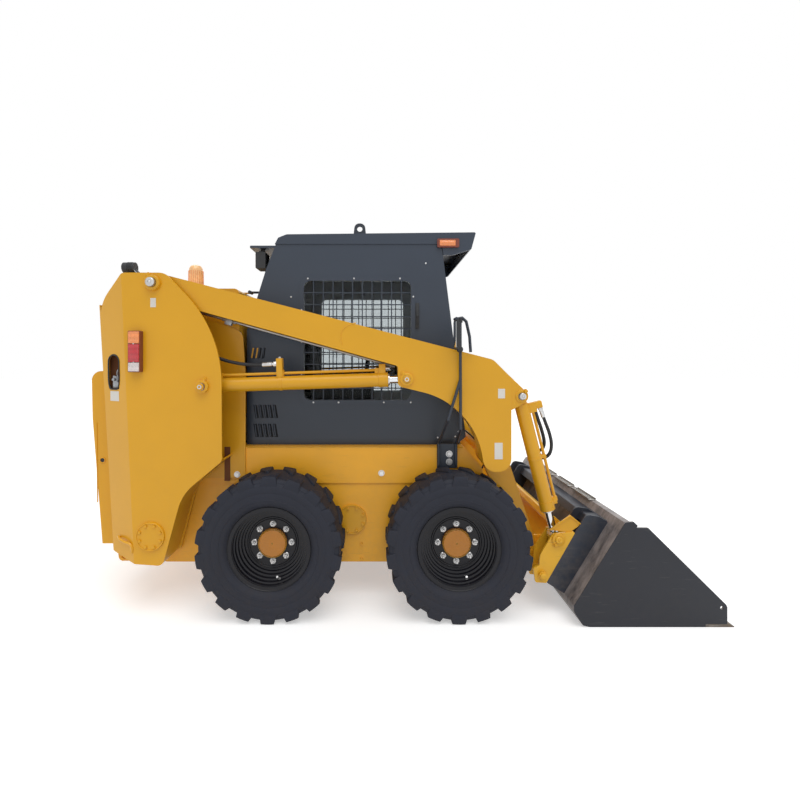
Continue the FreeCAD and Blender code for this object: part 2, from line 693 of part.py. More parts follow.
def cab_back_outline():
    wall = CAB_WALL
    return [
        (CAB_BACK_X, HULL_TOP, 0),
        CAB_SLOPE_LOW + (60,),
        CAB_SLOPE_HIGH + (200,),
        (CAB_HEAD_X, CAB_TOP, 0),
        (CAB_HEAD_X + wall, CAB_TOP, 0),
        (CAB_SLOPE_HIGH[0] + wall, CAB_SLOPE_HIGH[1] - 6.0, 190),
        (CAB_BACK_X + wall, CAB_SLOPE_LOW[1] - 5.0, 50),
        (CAB_BACK_X + wall, HULL_TOP, 0),
    ]


def cab_back():
    inner = CAB_HALF_WIDTH - CAB_WALL
    wall = plate(cab_back_outline(), -inner, inner)
    return wall.cut(rear_glass_opening())


def rear_glass_opening():
    return block(REAR_AXLE_X - 300.0, REAR_AXLE_X + 60.0, -REAR_GLASS_HALF_WIDTH, REAR_GLASS_HALF_WIDTH,
                 REAR_GLASS_LOW, REAR_GLASS_HIGH)


def rear_window():
    """Glass in the rear wall's opening, parallel to the wall."""
    sheet = 5.0
    bend_x, bend_z = CAB_SLOPE_HIGH[0] + 18.0, CAB_SLOPE_HIGH[1] - 6.0
    x_low = line_x(CAB_SLOPE_LOW, CAB_SLOPE_HIGH, REAR_GLASS_LOW) + 14.0
    x_high = CAB_HEAD_X - 7.0
    shape = [
        (x_low, REAR_GLASS_LOW, 0),
        (bend_x, bend_z, 0),
        (x_high, REAR_GLASS_HIGH, 0),
        (x_high + sheet, REAR_GLASS_HIGH, 0),
        (bend_x + sheet, bend_z - 1.0, 0),
        (x_low + sheet, REAR_GLASS_LOW, 0),
    ]
    return plate(shape, -REAR_GLASS_HALF_WIDTH, REAR_GLASS_HALF_WIDTH)


FLOOR_PLATE = 12.0
SEAT_X = REAR_AXLE_X + 310.0


def cab_floor():
    """The floor under the seat, which stops at the footwell."""
    inner = CAB_HALF_WIDTH - CAB_WALL
    pan = block(CAB_BACK_X + CAB_WALL, SEAT_X + 260.0, -inner, inner, HULL_TOP, HULL_TOP + FLOOR_PLATE)
    riser = block(SEAT_X + 248.0, SEAT_X + 260.0, -380.0, 380.0, HULL_TOP - 260.0, HULL_TOP)
    return join([pan, riser])


SILL_TOP = 930.0
DOOR_LOW = 938.0
DOOR_HIGH = 1986.0
DOOR_THICKNESS = 30.0
DOOR_SIDE_GAP = 8.0
POST_DEPTH = 45.0
POST_WIDTH = 40.0


def sloped_slab(z_low, z_high, y_low, y_high, back_low, back_high):
    """A slab parallel to the cab front, between two depths behind it."""
    shape = [
        (cab_front_x(z_low) - back_low, z_low, 0),
        (cab_front_x(z_high) - back_low, z_high, 0),
        (cab_front_x(z_high) - back_high, z_high, 0),
        (cab_front_x(z_low) - back_high, z_low, 0),
    ]
    return plate(shape, y_low, y_high)


def cab_front_frame():
    """Posts, header and sill behind the front door."""
    inner = CAB_HALF_WIDTH - CAB_WALL
    near = DOOR_THICKNESS + 4.0
    far = near + POST_DEPTH
    foot = HULL_TOP + 2.0
    ring = [
        sloped_slab(foot, CAB_TOP, -inner, -inner + POST_WIDTH, near, far),
        sloped_slab(foot, CAB_TOP, inner - POST_WIDTH, inner, near, far),
        sloped_slab(DOOR_HIGH - 40.0, CAB_TOP, -inner, inner, near, far),
        sloped_slab(foot, SILL_TOP, -inner, inner, near, far),
    ]
    header = sloped_slab(DOOR_HIGH + 6.0, CAB_TOP, -inner, inner, 0.0, far)
    return join(ring + [header])


def front_door():
    """The front door's frame, hinged on the machine's left."""
    half = CAB_HALF_WIDTH - CAB_WALL - DOOR_SIDE_GAP
    frame = sloped_slab(DOOR_LOW, DOOR_HIGH, -half, half, 0.0, DOOR_THICKNESS)
    frame = frame.cut(front_glass_space(-1.0, DOOR_THICKNESS + 1.0))
    reach = HINGE_LENGTH / 2 - HINGE_END - 1.5
    for z in FRONT_DOOR_HINGE_ZS:
        middle = front_door_hinge_middle(z)
        leaf = sloped_slab(z - reach, z + reach, half - 40.0, FRONT_DOOR_HINGE_Y, 0.0, -HINGE_LEAF)
        frame = join([frame, leaf, hinge_swing(middle, FRONT_RUN)]).cut(hinge_bore(middle, FRONT_RUN))
    return frame


FRONT_DOOR_HINGE_Y = CAB_HALF_WIDTH - CAB_WALL - DOOR_SIDE_GAP / 2
FRONT_DOOR_HINGE_SET = HINGE_KNUCKLE_RADIUS
FRONT_DOOR_HINGE_ZS = (1130.0, 1790.0)
FRONT_RUN = FreeCAD.Vector(-FRONT_SLOPE, 0, 1.0).normalize()


def front_door_hinge_middle(z):
    return FreeCAD.Vector(cab_front_x(z) + FRONT_DOOR_HINGE_SET, FRONT_DOOR_HINGE_Y, z)


def hinges():
    """The fixed halves of every hinge, with the brackets that carry them."""
    solids = []
    half = HINGE_LENGTH / 2
    x, z = HOOD_HINGE
    for y in HOOD_HINGE_YS:
        wall_x = line_x(CAB_SLOPE_LOW, CAB_SLOPE_HIGH, z - 3.0)
        arms = [block(x, wall_x, y - half, y - half + HINGE_END, z - 3.0, z + 3.0),
                block(x, wall_x, y + half - HINGE_END, y + half, z - 3.0, z + 3.0)]
        solids.append(join([hinge_fixed(FreeCAD.Vector(x, y, z), ACROSS)] + arms))
    for z in REAR_DOOR_HINGE_ZS:
        middle, run = rear_door_hinge_frame(z)
        leaves = []
        for low in (z - half, z + half - HINGE_END + HINGE_SLACK):
            high = low + HINGE_END - HINGE_SLACK
            leaf = [(line_x(TOWER_BACK_LOW, TOWER_BACK_HIGH, low), low, 0),
                    (line_x(TOWER_BACK_LOW, TOWER_BACK_HIGH, high), high, 0),
                    (middle.x, high, 0), (middle.x, low, 0)]
            leaves.append(plate(leaf, REAR_DOOR_HINGE_Y - 3.0, REAR_DOOR_HINGE_Y + 3.0))
        solids.append(join([hinge_fixed(middle, run)] + leaves))
    for z in FRONT_DOOR_HINGE_ZS:
        leaves = [sloped_slab(low, low + HINGE_END - HINGE_SLACK, FRONT_DOOR_HINGE_Y, CAB_HALF_WIDTH - 4.0,
                              0.0, -HINGE_LEAF)
                  for low in (z - half, z + half - HINGE_END + HINGE_SLACK)]
        solids.append(join([hinge_fixed(front_door_hinge_middle(z), FRONT_RUN)] + leaves))
    return Part.makeCompound(solids)


DOOR_RAIL = 50.0


def front_glass_space(near, far):
    half = CAB_HALF_WIDTH - CAB_WALL - DOOR_SIDE_GAP - DOOR_RAIL
    return sloped_slab(DOOR_LOW + DOOR_RAIL, DOOR_HIGH - DOOR_RAIL, -half, half, near, far)


def front_door_glass():
    return front_glass_space(12.0, 18.0)


def seat_base():
    return block(SEAT_X - 230.0, SEAT_X + 200.0, -200.0, 200.0,
                 HULL_TOP + FLOOR_PLATE, HULL_TOP + FLOOR_PLATE + 170.0)


def seat_cushion():
    low = HULL_TOP + FLOOR_PLATE + 170.3
    shape = [
        (SEAT_X - 240.0, low, 25),
        (SEAT_X + 240.0, low, 25),
        (SEAT_X + 240.0, low + 115.0, 45),
        (SEAT_X - 240.0, low + 90.0, 30),
    ]
    return plate(shape, -240.0, 240.0)


def seat_back():
    low = HULL_TOP + FLOOR_PLATE + 262.0
    shape = [
        (SEAT_X - 242.0, low, 25),
        (SEAT_X - 130.0, low + 4.0, 25),
        (SEAT_X - 215.0, low + 560.0, 40),
        (SEAT_X - 325.0, low + 545.0, 40),
    ]
    return plate(shape, -225.0, 225.0)


def control_consoles():
    """An armrest box on each side of the seat with its lever."""
    low = HULL_TOP + FLOOR_PLATE
    solids = []
    for side in (-1, 1):
        y = side * 315.0
        box = block(SEAT_X - 150.0, SEAT_X + 230.0, y - 45.0, y + 45.0, low, low + 330.0)
        stem = bar([(SEAT_X + 170.0, y, low + 320.0), (SEAT_X + 200.0, y, low + 520.0)], 9.0)
        grip = bar([(SEAT_X + 198.0, y, low + 505.0), (SEAT_X + 212.0, y, low + 600.0)], 20.0)
        solids.append(join([box, stem, grip]))
    return Part.makeCompound(solids)


# ---------------------------------------------------------------- axles and wheels
RIM_FLANGE_RADIUS = 224.0
RIM_BARREL_RADIUS = 208.0
RIM_SHEET = 8.0
BEAD_GAP = 0.3                 # between the rim's barrel and the tyre
RIM_HALF_WIDTH = 104.0
DISC_OFFSET = 4.0              # the disc's outer face, outboard of the tyre's middle
DISC_SHEET = 12.0
HUB_RADIUS = 78.0
HUB_FLANGE_RADIUS = 125.0
HUB_PROUD = 25.0
AXLE_HOUSING_RADIUS = 68.0
AXLE_SHAFT_RADIUS = 32.0
AXLE_HOUSING_FLANGE = 120.0

WHEELS = [                     # name, axle x, side
    ("front_right", FRONT_AXLE_X, -1),
    ("front_left", FRONT_AXLE_X, 1),
    ("rear_right", REAR_AXLE_X, -1),
    ("rear_left", REAR_AXLE_X, 1),
]


def placed_wheel(shape, axle_x, side):
    """Moves a shape turned about the Y axis, with its outer face at +Y, to its axle."""
    shape = shape if side > 0 else mirrored(shape)
    shape.translate(FreeCAD.Vector(axle_x, 0, AXLE_Z))
    return shape


def tyre():
    half = TYRE_WIDTH / 2
    bead = RIM_BARREL_RADIUS + BEAD_GAP
    tread = TYRE_RADIUS
    profile = [                # radius, y from the tyre's middle
        (bead, -RIM_HALF_WIDTH + 10.0),
        (bead + 26.0, -RIM_HALF_WIDTH + 4.0),
        (bead + 52.0, -half + 4.0),
        (bead + 90.0, -half),
        (tread - 48.0, -half + 5.0),
        (tread - 12.0, -half + 16.0),
        (tread, -half + 42.0),
        (tread, half - 42.0),
        (tread - 12.0, half - 16.0),
        (tread - 48.0, half - 5.0),
        (bead + 90.0, half),
        (bead + 52.0, half - 4.0),
        (bead + 26.0, RIM_HALF_WIDTH - 4.0),
        (bead, RIM_HALF_WIDTH - 10.0),
    ]
    return turned(profile, TYRE_Y)


def rim():
    outer = RIM_BARREL_RADIUS
    inner = outer - RIM_SHEET
    disc = DISC_OFFSET
    profile = [                # radius, y from the tyre's middle
        (inner, -RIM_HALF_WIDTH),
        (RIM_FLANGE_RADIUS, -RIM_HALF_WIDTH),
        (RIM_FLANGE_RADIUS, -RIM_HALF_WIDTH + 6.0),
        (outer, -RIM_HALF_WIDTH + 10.0),
        (outer, RIM_HALF_WIDTH - 10.0),
        (RIM_FLANGE_RADIUS, RIM_HALF_WIDTH - 6.0),
        (RIM_FLANGE_RADIUS, RIM_HALF_WIDTH),
        (inner, RIM_HALF_WIDTH),
        (inner, disc + 30.0),
        (inner - 30.0, disc + 8.0),
        (150.0, disc),
        (HUB_RADIUS + 0.3, disc),
        (HUB_RADIUS + 0.3, disc - DISC_SHEET),
        (150.0, disc - DISC_SHEET),
        (inner - 30.0, disc - DISC_SHEET + 8.0),
        (inner, disc - DISC_SHEET + 22.0),
    ]
    return turned(profile, TYRE_Y)


def hub():
    """The hub: cap, flange behind the rim's disc, and the boss that runs on the axle housing."""
    back = DISC_OFFSET - DISC_SHEET
    profile = [                # radius, y from the tyre's middle
        (0.0, DISC_OFFSET + HUB_PROUD),
        (HUB_RADIUS - 8.0, DISC_OFFSET + HUB_PROUD),
        (HUB_RADIUS, DISC_OFFSET + HUB_PROUD - 6.0),
        (HUB_RADIUS, back),
        (HUB_FLANGE_RADIUS, back),
        (HUB_FLANGE_RADIUS, back - 14.0),
        (70.0, back - 14.0),
        (70.0, back - 40.0),
        (AXLE_SHAFT_RADIUS, back - 40.0),
        (AXLE_SHAFT_RADIUS, back - 110.0),
        (0.0, back - 110.0),
    ]
    return turned(profile, TYRE_Y)


def axle_housings():
    """A tube and flange from the hull side to each hub, bored for the hub's shaft."""
    hub_back_y = TYRE_Y + DISC_OFFSET - DISC_SHEET - 40.0
    solids = []
    for name, axle_x, side in WHEELS:
        place = (axle_x, AXLE_Z)
        tube = across_cylinder(place, AXLE_HOUSING_RADIUS, HULL_HALF_WIDTH, hub_back_y - 5.0)
        flange = across_cylinder(place, AXLE_HOUSING_FLANGE, HULL_HALF_WIDTH, HULL_HALF_WIDTH + 22.0)
        bore = across_cylinder(place, AXLE_SHAFT_RADIUS + PIN_CLEARANCE, hub_back_y - 76.0, hub_back_y)
        housing = join([tube, flange]).cut(bore)
        solids.append(housing if side > 0 else mirrored(housing))
    return Part.makeCompound(solids)


# ---------------------------------------------------------------- boom
CROSS_TUBE_RADIUS = 60.0
LEG_BOSS_RADIUS = 88.0
LUG_RADIUS = 38.0
LUG_THICKNESS = 8.0
PIN_HEAD = 10.0


ARM_UNDERSIDE = ((BOOM_PIVOT[0] - 56.0, BOOM_PIVOT[1] - 66.0), (LIFT_PIN[0] - 48.0, LIFT_PIN[1] + 72.0))


def arm_outline():
    """The arm from its pivot, over the knee, to the rounded foot around the cross tube."""
    pivot_x, pivot_z = BOOM_PIVOT
    tube_x, tube_z = CROSS_TUBE
    return [
        (pivot_x - 56.0, pivot_z + 76.0, 55),
        (tube_x - 37.0, 1385.0, 60),
        (tube_x + 62.0, 1286.0, 30),
        (tube_x + 62.0, tube_z - 77.0, 71),
        (tube_x - 82.0, tube_z - 77.0, 71),
        (tube_x - 141.0, 1140.0, 430),
        (LIFT_PIN[0] - 47.0, LIFT_PIN[1] - 38.0, 30),
        ARM_UNDERSIDE[1] + (15,),
        ARM_UNDERSIDE[0] + (55,),
    ]


def ear_outline():
    """The cheeks in front of the knee that hold the tilt cylinder's upper pin."""
    pin_x, pin_z = TILT_BASE
    tube_x = CROSS_TUBE[0]
    return [
        (tube_x - 20.0, 1368.0, 20),
        (tube_x - 20.0, 1110.0, 20),
        (tube_x + 66.0, 1110.0, 20),
        (pin_x + 8.0, pin_z - 42.0, 36),
        (pin_x + 46.0, pin_z + 2.0, 30),
        (pin_x - 4.0, pin_z + 52.0, 20),
        (tube_x - 20.0 + 42.0, 1326.0, 0),
    ]


def leg_outline():
    """The lower leg, from the cross tube down to the coupler's pivot."""
    tube_x, tube_z = CROSS_TUBE
    pivot_x, pivot_z = COUPLER_PIVOT
    return [
        (tube_x + 62.0, tube_z + 62.0, 60),
        (tube_x + 98.0, tube_z - 70.0, 90),
        (pivot_x + 64.0, pivot_z - 20.0, 50),
        (pivot_x - 32.0, pivot_z - 60.0, 50),
        (pivot_x - 62.0, pivot_z + 22.0, 60),
        (tube_x - 74.0, tube_z - 8.0, 50),
    ]


def boom_arm(side):
    """One side of the boom as a weldment: arm box, pin cheeks, lower leg and its boss."""
    arm = plate(arm_outline(), ARM_INNER_Y, ARM_OUTER_Y)
    slot = block(LIFT_PIN[0] - 61.0, LIFT_PIN[0] + 51.0,
                 EYE_INNER_Y - EYE_SIDE_GAP, EYE_OUTER_Y + EYE_SIDE_GAP,
                 LIFT_PIN[1] - 100.0, LIFT_PIN[1] + 52.0)
    arm = arm.cut(slot)
    ears = [
        plate(ear_outline(), EYE_INNER_Y - EAR_CLEARANCE - EAR_PLATE, EYE_INNER_Y - EAR_CLEARANCE),
        plate(ear_outline(), EYE_OUTER_Y + EAR_CLEARANCE, EYE_OUTER_Y + EAR_CLEARANCE + EAR_PLATE),
    ]
    leg = plate(leg_outline(), LEG_INNER_Y, LEG_OUTER_Y)
    boss = across_cylinder(CROSS_TUBE, LEG_BOSS_RADIUS, LEG_INNER_Y, LEG_OUTER_Y)
    collar = across_cylinder(CROSS_TUBE, CROSS_TUBE_RADIUS, LEG_OUTER_Y, ARM_INNER_Y)
    pivot_collars = [
        across_cylinder(BOOM_PIVOT, 42.0, TOWER_INNER_Y + 5.0, ARM_INNER_Y),
        across_cylinder(BOOM_PIVOT, 42.0, ARM_OUTER_Y, TOWER_OUTER_Y - TOWER_PLATE - 5.0),
    ]
    lug = across_cylinder(LIFT_PIN, LUG_RADIUS, ARM_OUTER_Y, ARM_OUTER_Y + LUG_THICKNESS)
    body = join([arm] + ears + [leg, boss, collar] + pivot_collars + [lug])
    far = TOWER_OUTER_Y + 30.0
    holes = [
        across_cylinder(BOOM_PIVOT, PIVOT_BORE_RADIUS, 0.0, far),
        across_cylinder(TILT_BASE, PIN_BORE_RADIUS, 0.0, far),
        across_cylinder(COUPLER_PIVOT, PIN_BORE_RADIUS, 0.0, far),
    ]
    body = body.cut(holes)
    return mirrored(body) if side < 0 else body


def boom_cross_tube():
    """The tube that ties the two lower legs together."""
    return across_cylinder(CROSS_TUBE, CROSS_TUBE_RADIUS, -LEG_INNER_Y, LEG_INNER_Y)


def boom_pins():
    """The tilt cylinders' upper pins, and the heads of the pins in the lift rods' lugs."""
    inner = EYE_INNER_Y - EAR_CLEARANCE - EAR_PLATE
    outer = EYE_OUTER_Y + EAR_CLEARANCE + EAR_PLATE
    tilt = across_cylinder(TILT_BASE, CYLINDER_PIN_RADIUS, inner - PIN_HEAD, outer + PIN_HEAD)
    lug_y = ARM_OUTER_Y + LUG_THICKNESS
    lift_outer = across_cylinder(LIFT_PIN, CYLINDER_PIN_RADIUS, lug_y, lug_y + PIN_HEAD)
    lift_inner = across_cylinder(LIFT_PIN, CYLINDER_PIN_RADIUS, ARM_INNER_Y - PIN_HEAD, ARM_INNER_Y)
    pins = [tilt, lift_outer, lift_inner]
    return Part.makeCompound(pins + [mirrored(pin) for pin in pins])


PIPE_RADIUS = 8.0
PIPE_GAP = 0.3                 # between a pipe and the arm


def beside(route, distance):
    """The points of a route in the XZ plane, moved to its right by a distance."""
    moved = []
    for index, (x, z) in enumerate(route):
        normals = []
        for start, end in zip(route, route[1:]):
            if (x, z) in (start, end):
                run_x, run_z = end[0] - start[0], end[1] - start[1]
                length = hypot(run_x, run_z)
                normals.append((run_z / length, -run_x / length))
        sum_x = sum(normal[0] for normal in normals)
        sum_z = sum(normal[1] for normal in normals)
        scale = len(normals) * distance / (sum_x * sum_x + sum_z * sum_z)
        moved.append((x + sum_x * scale, z + sum_z * scale))
    return moved


def boom_pipes():
    """A steel pipe under each arm's straight edge, and one on its inner face down to the knee."""
    under_y = ARM_INNER_Y + PIPE_RADIUS + 2.0
    inner_y = ARM_INNER_Y - PIPE_RADIUS - PIPE_GAP
    ends = [(x, line_z(*ARM_UNDERSIDE, x)) for x in (BOOM_PIVOT[0] + 157.0, ARM_UNDERSIDE[1][0] - 10.0)]
    under = [(x, under_y, z) for x, z in beside(ends, PIPE_RADIUS + PIPE_GAP)]
    inner = [
        (BOOM_PIVOT[0] + 200.0, inner_y, BOOM_PIVOT[1] - 52.0),
        (CROSS_TUBE[0] - 90.0, inner_y, 1330.0),
        (CROSS_TUBE[0] + 10.0, inner_y, 1180.0),
        (CROSS_TUBE[0] + 10.0, inner_y, 1000.0),
    ]
    pipes = [bar(under, PIPE_RADIUS), bar(inner, PIPE_RADIUS)]
    return Part.makeCompound(pipes + [mirrored(pipe) for pipe in pipes])


# ---------------------------------------------------------------- cylinders
EYE_RADIUS = 38.0
ROD_EYE_RADIUS = 34.0
EYE_NECK_RADIUS = 33.0
GLAND_LENGTH = 46.0
GLAND_STEP = 3.0


def aimed(shape, start, end, y):
    """Lays a shape built along +X at the origin from start towards end, at station y."""
    angle = degrees(atan2(end[1] - start[1], end[0] - start[0]))
    shape.rotate(FreeCAD.Vector(0, 0, 0), ACROSS, -angle)
    shape.translate(FreeCAD.Vector(start[0], y, start[1]))
    return shape


def along_cylinder(radius, start, end):
    return Part.makeCylinder(radius, end - start, FreeCAD.Vector(start, 0, 0), FORWARD)


def eye(at, outer):
    start = FreeCAD.Vector(at, -CYLINDER_EYE_WIDTH / 2, 0)
    return Part.makeCylinder(outer, CYLINDER_EYE_WIDTH, start, ACROSS)


def cylinder_barrel(radius, rod_radius, length):
    """Eye on its pin, tube and gland; the rod's bore runs in from the gland."""
    body = join([
        eye(0.0, EYE_RADIUS),
        along_cylinder(EYE_NECK_RADIUS, EYE_RADIUS - 10.0, EYE_RADIUS + 14.0),
        along_cylinder(radius, EYE_RADIUS + 12.0, length - GLAND_LENGTH),
        along_cylinder(radius + GLAND_STEP, length - GLAND_LENGTH, length),
    ])
    bore = along_cylinder(rod_radius + ROD_CLEARANCE, EYE_RADIUS + 30.0, length + 1.0)
    pin_hole = Part.makeCylinder(PIN_BORE_RADIUS, CYLINDER_EYE_WIDTH + 2.0,
                                 FreeCAD.Vector(0, -CYLINDER_EYE_WIDTH / 2 - 1.0, 0), ACROSS)
    return body.cut([bore, pin_hole])


def cylinder_rod(rod_radius, pin_distance, buried_from):
    """The rod from inside the barrel to its round end."""
    return join([
        along_cylinder(rod_radius, buried_from, pin_distance - ROD_EYE_RADIUS + 8.0),
        eye(pin_distance, ROD_EYE_RADIUS),
    ])


LIFT_LENGTH = hypot(LIFT_PIN[0] - LIFT_BASE[0], LIFT_PIN[1] - LIFT_BASE[1])
TILT_LENGTH = hypot(TILT_PIN[0] - TILT_BASE[0], TILT_PIN[1] - TILT_BASE[1])
LIFT_BARREL_LENGTH = LIFT_LENGTH - 101.0
TILT_BARREL_LENGTH = TILT_LENGTH - 151.0
LIFT_ROD_TAIL = 110.0          # where the rod begins, measured from the barrel's pin
TILT_ROD_TAIL = 220.0


def lift_barrels():
    barrel = cylinder_barrel(LIFT_BARREL_RADIUS, LIFT_ROD_RADIUS, LIFT_BARREL_LENGTH)
    clamp = block(386.0, 425.0, -17.0, 17.0, LIFT_BARREL_RADIUS - 5.0, LIFT_BARREL_RADIUS + 34.0)
    pipe = bar([(70.0, 0.0, 55.0), (940.0, 0.0, 55.0)], PIPE_RADIUS)
    port = block(930.0, 955.0, -12.0, 12.0, LIFT_BARREL_RADIUS - 5.0, 66.0)
    inlet = block(62.0, 87.0, -12.0, 12.0, LIFT_BARREL_RADIUS - 6.0, 66.0)
    return pair(aimed(join([barrel, clamp, pipe, port, inlet]), LIFT_BASE, LIFT_PIN, ARM_Y))


def lift_rods():
    rod = cylinder_rod(LIFT_ROD_RADIUS, LIFT_LENGTH, LIFT_ROD_TAIL)
    return pair(aimed(rod, LIFT_BASE, LIFT_PIN, ARM_Y))


def tilt_barrels():
    """Tilt cylinder barrels, with a port block and a steel pipe on the front side."""
    barrel = cylinder_barrel(TILT_BARREL_RADIUS, TILT_ROD_RADIUS, TILT_BARREL_LENGTH)
    port = block(62.0, 108.0, -20.0, 20.0, TILT_BARREL_RADIUS - 6.0, TILT_BARREL_RADIUS + 34.0)
    pipe_z = TILT_BARREL_RADIUS + 16.0
    pipe = bar([(100.0, 0.0, pipe_z), (600.0, 0.0, pipe_z)], PIPE_RADIUS)
    outlet = block(590.0, 615.0, -12.0, 12.0, TILT_BARREL_RADIUS - 6.0, TILT_BARREL_RADIUS + 26.0)
    return pair(aimed(join([barrel, port, pipe, outlet]), TILT_BASE, TILT_PIN, ARM_Y))


def tilt_rods():
    rod = cylinder_rod(TILT_ROD_RADIUS, TILT_LENGTH, TILT_ROD_TAIL)
    return pair(aimed(rod, TILT_BASE, TILT_PIN, ARM_Y))


# ---------------------------------------------------------------- coupler
LEAN = radians(BUCKET_BACK_LEAN)
FACE_FOOT = 112.0              # from the bucket's back to the coupler's face, at the foot
FACE_HEAD = 121.0              # and at the head
FACE_LOW, FACE_HIGH = -3.0, 306.0
WASHER = 6.0                   # the raised ring under the tilt pin's head


def leaned(up_back, behind):
    """A point measured up the bucket's back from its heel, and out behind it."""
    x = BUCKET_HEEL[0] + up_back * sin(LEAN) - behind * cos(LEAN)
    z = BUCKET_HEEL[1] + up_back * cos(LEAN) + behind * sin(LEAN)
    return x, z


def leaned_plate(corners, y_low, y_high):
    placed = [leaned(up_back, behind) + (radius,) for up_back, behind, radius in corners]
    return plate(placed, y_low, y_high)


def coupler_side_outline():
    """The tall plates that hold the tilt rod's pin."""
    pivot_x, pivot_z = COUPLER_PIVOT
    return [
        (pivot_x + 60.0, pivot_z + 220.0, 8),
        (pivot_x + 182.0, pivot_z + 233.0, 8),
        (pivot_x + 177.0, pivot_z + 220.0, 0),
        (pivot_x + 23.0, pivot_z - 48.0, 4),
        (pivot_x - 36.0, pivot_z - 44.0, 8),
        (pivot_x - 48.0, pivot_z + 32.0, 8),
        (pivot_x - 15.0, pivot_z + 48.0, 10),
        (pivot_x - 11.0, pivot_z + 103.0, 60),
        (pivot_x + 52.0, pivot_z + 208.0, 12),
    ]


def coupler_low_outline():
    """The short plates on both sides of the lower leg."""
    pivot_x, pivot_z = COUPLER_PIVOT
    return [
        (pivot_x + 23.0, pivot_z - 48.0, 4),
        (pivot_x - 36.0, pivot_z - 44.0, 8),
        (pivot_x - 48.0, pivot_z + 32.0, 14),
        (pivot_x + 30.0, pivot_z + 130.0, 20),
        (pivot_x + 125.0, pivot_z + 130.0, 0),
    ]


def coupler():
    """The quick coupler: face plate with openings, paired plates and the top tube."""
    thick = COUPLER_FACE_PLATE
    face_line = [(FACE_LOW, FACE_FOOT, 0), (FACE_HIGH, FACE_HEAD, 0),
                 (FACE_HIGH, FACE_HEAD + thick, 0), (FACE_LOW, FACE_FOOT + thick, 0)]
    face = leaned_plate(face_line, -COUPLER_OUTER_Y, COUPLER_OUTER_Y)
    eye_low = EYE_INNER_Y - PLATE_CLEARANCE - 4.0
    openings = []
    for y_low, y_high, low, high in (
        (LEG_INNER_Y - PLATE_CLEARANCE, LEG_OUTER_Y + PLATE_CLEARANCE, FACE_LOW - 10.0, 130.0),
        (eye_low, COUPLER_OUTER_Y - COUPLER_PLATE, 120.0, FACE_HIGH + 10.0),
    ):
        opening = leaned_plate([(low, FACE_FOOT - 20.0, 0), (high, FACE_FOOT - 20.0, 0),
                                (high, FACE_HEAD + 30.0, 0), (low, FACE_HEAD + 30.0, 0)], y_low, y_high)
        openings += [opening, mirrored(opening)]
    face = face.cut(openings)
    top_tube = leaned_plate([(262.0, FACE_HEAD + thick - 2.0, 0), (FACE_HIGH, FACE_HEAD + thick, 0),
                             (FACE_HIGH, FACE_HEAD + 64.0, 10), (262.0, FACE_HEAD + 64.0, 10)],
                            -COUPLER_INNER_Y - COUPLER_PLATE, COUPLER_INNER_Y + COUPLER_PLATE)
    beside_leg_y = LEG_OUTER_Y + PLATE_CLEARANCE
    half = [
        plate(coupler_low_outline(), COUPLER_INNER_Y, COUPLER_INNER_Y + COUPLER_PLATE),
        plate(coupler_low_outline(), beside_leg_y, beside_leg_y + COUPLER_PLATE),
        plate(coupler_side_outline(), eye_low - COUPLER_PLATE, eye_low),
        plate(coupler_side_outline(), COUPLER_OUTER_Y - COUPLER_PLATE, COUPLER_OUTER_Y),
    ]
    half += [across_cylinder(TILT_PIN, 30.0, COUPLER_OUTER_Y, COUPLER_OUTER_Y + WASHER)]
    side = join(half).cut(across_cylinder(COUPLER_PIVOT, PIN_BORE_RADIUS, 0.0, BUCKET_HALF_WIDTH))
    return join([face, top_tube, side, mirrored(side)])


def coupler_pins():
    """The pins on which the coupler turns, and the heads of the tilt rods' pins."""
    eye_low = EYE_INNER_Y - PLATE_CLEARANCE - 4.0
    pivot = across_cylinder(COUPLER_PIVOT, CYLINDER_PIN_RADIUS,
                            COUPLER_INNER_Y - PIN_HEAD, COUPLER_OUTER_Y + PIN_HEAD)
    ring_y = COUPLER_OUTER_Y + WASHER
    outer = across_cylinder(TILT_PIN, CYLINDER_PIN_RADIUS, ring_y, ring_y + PIN_HEAD)
    inner = across_cylinder(TILT_PIN, CYLINDER_PIN_RADIUS,
                            eye_low - COUPLER_PLATE - PIN_HEAD, eye_low - COUPLER_PLATE)
    pins = [pivot, outer, inner]
    return Part.makeCompound(pins + [mirrored(pin) for pin in pins])


# ---------------------------------------------------------------- bucket
BUCKET_BACK_LENGTH = 498.0
BUCKET_TIP_X = TYRE_FRONT_X + 1031.0
BUCKET_FLOOR_X = BUCKET_HEEL[0] + 82.0
FRAME_GAP = 0.5                # between the bucket's frame and the coupler's face


def bucket_side_outline():
    heel_x, heel_z = BUCKET_HEEL
    top_x, top_z = leaned(BUCKET_BACK_LENGTH, 0.0)
    tip = BUCKET_TIP_X
    return [
        (heel_x, heel_z, 16),
        (top_x, top_z, 0),
        (top_x + 8.0, top_z + 8.0, 4),
        (top_x + 49.0, top_z + 10.0, 4),
        (top_x + 70.0, top_z - 10.0, 4),
        (top_x + 62.0, top_z - 21.0, 0),
        (top_x + 124.0, top_z - 21.0, 6),
        (tip - 44.0, 117.0, 8),
        (tip - 37.0, 104.0, 4),
        (tip - 37.0, CUTTING_EDGE, 0),
        (tip - 150.0, CUTTING_EDGE, 0),
        (tip - 150.0, 0.0, 0),
        (BUCKET_FLOOR_X, 0.0, 0),
        (heel_x + 46.0, 8.0, 20),
        (heel_x, 78.0, 20),
    ]


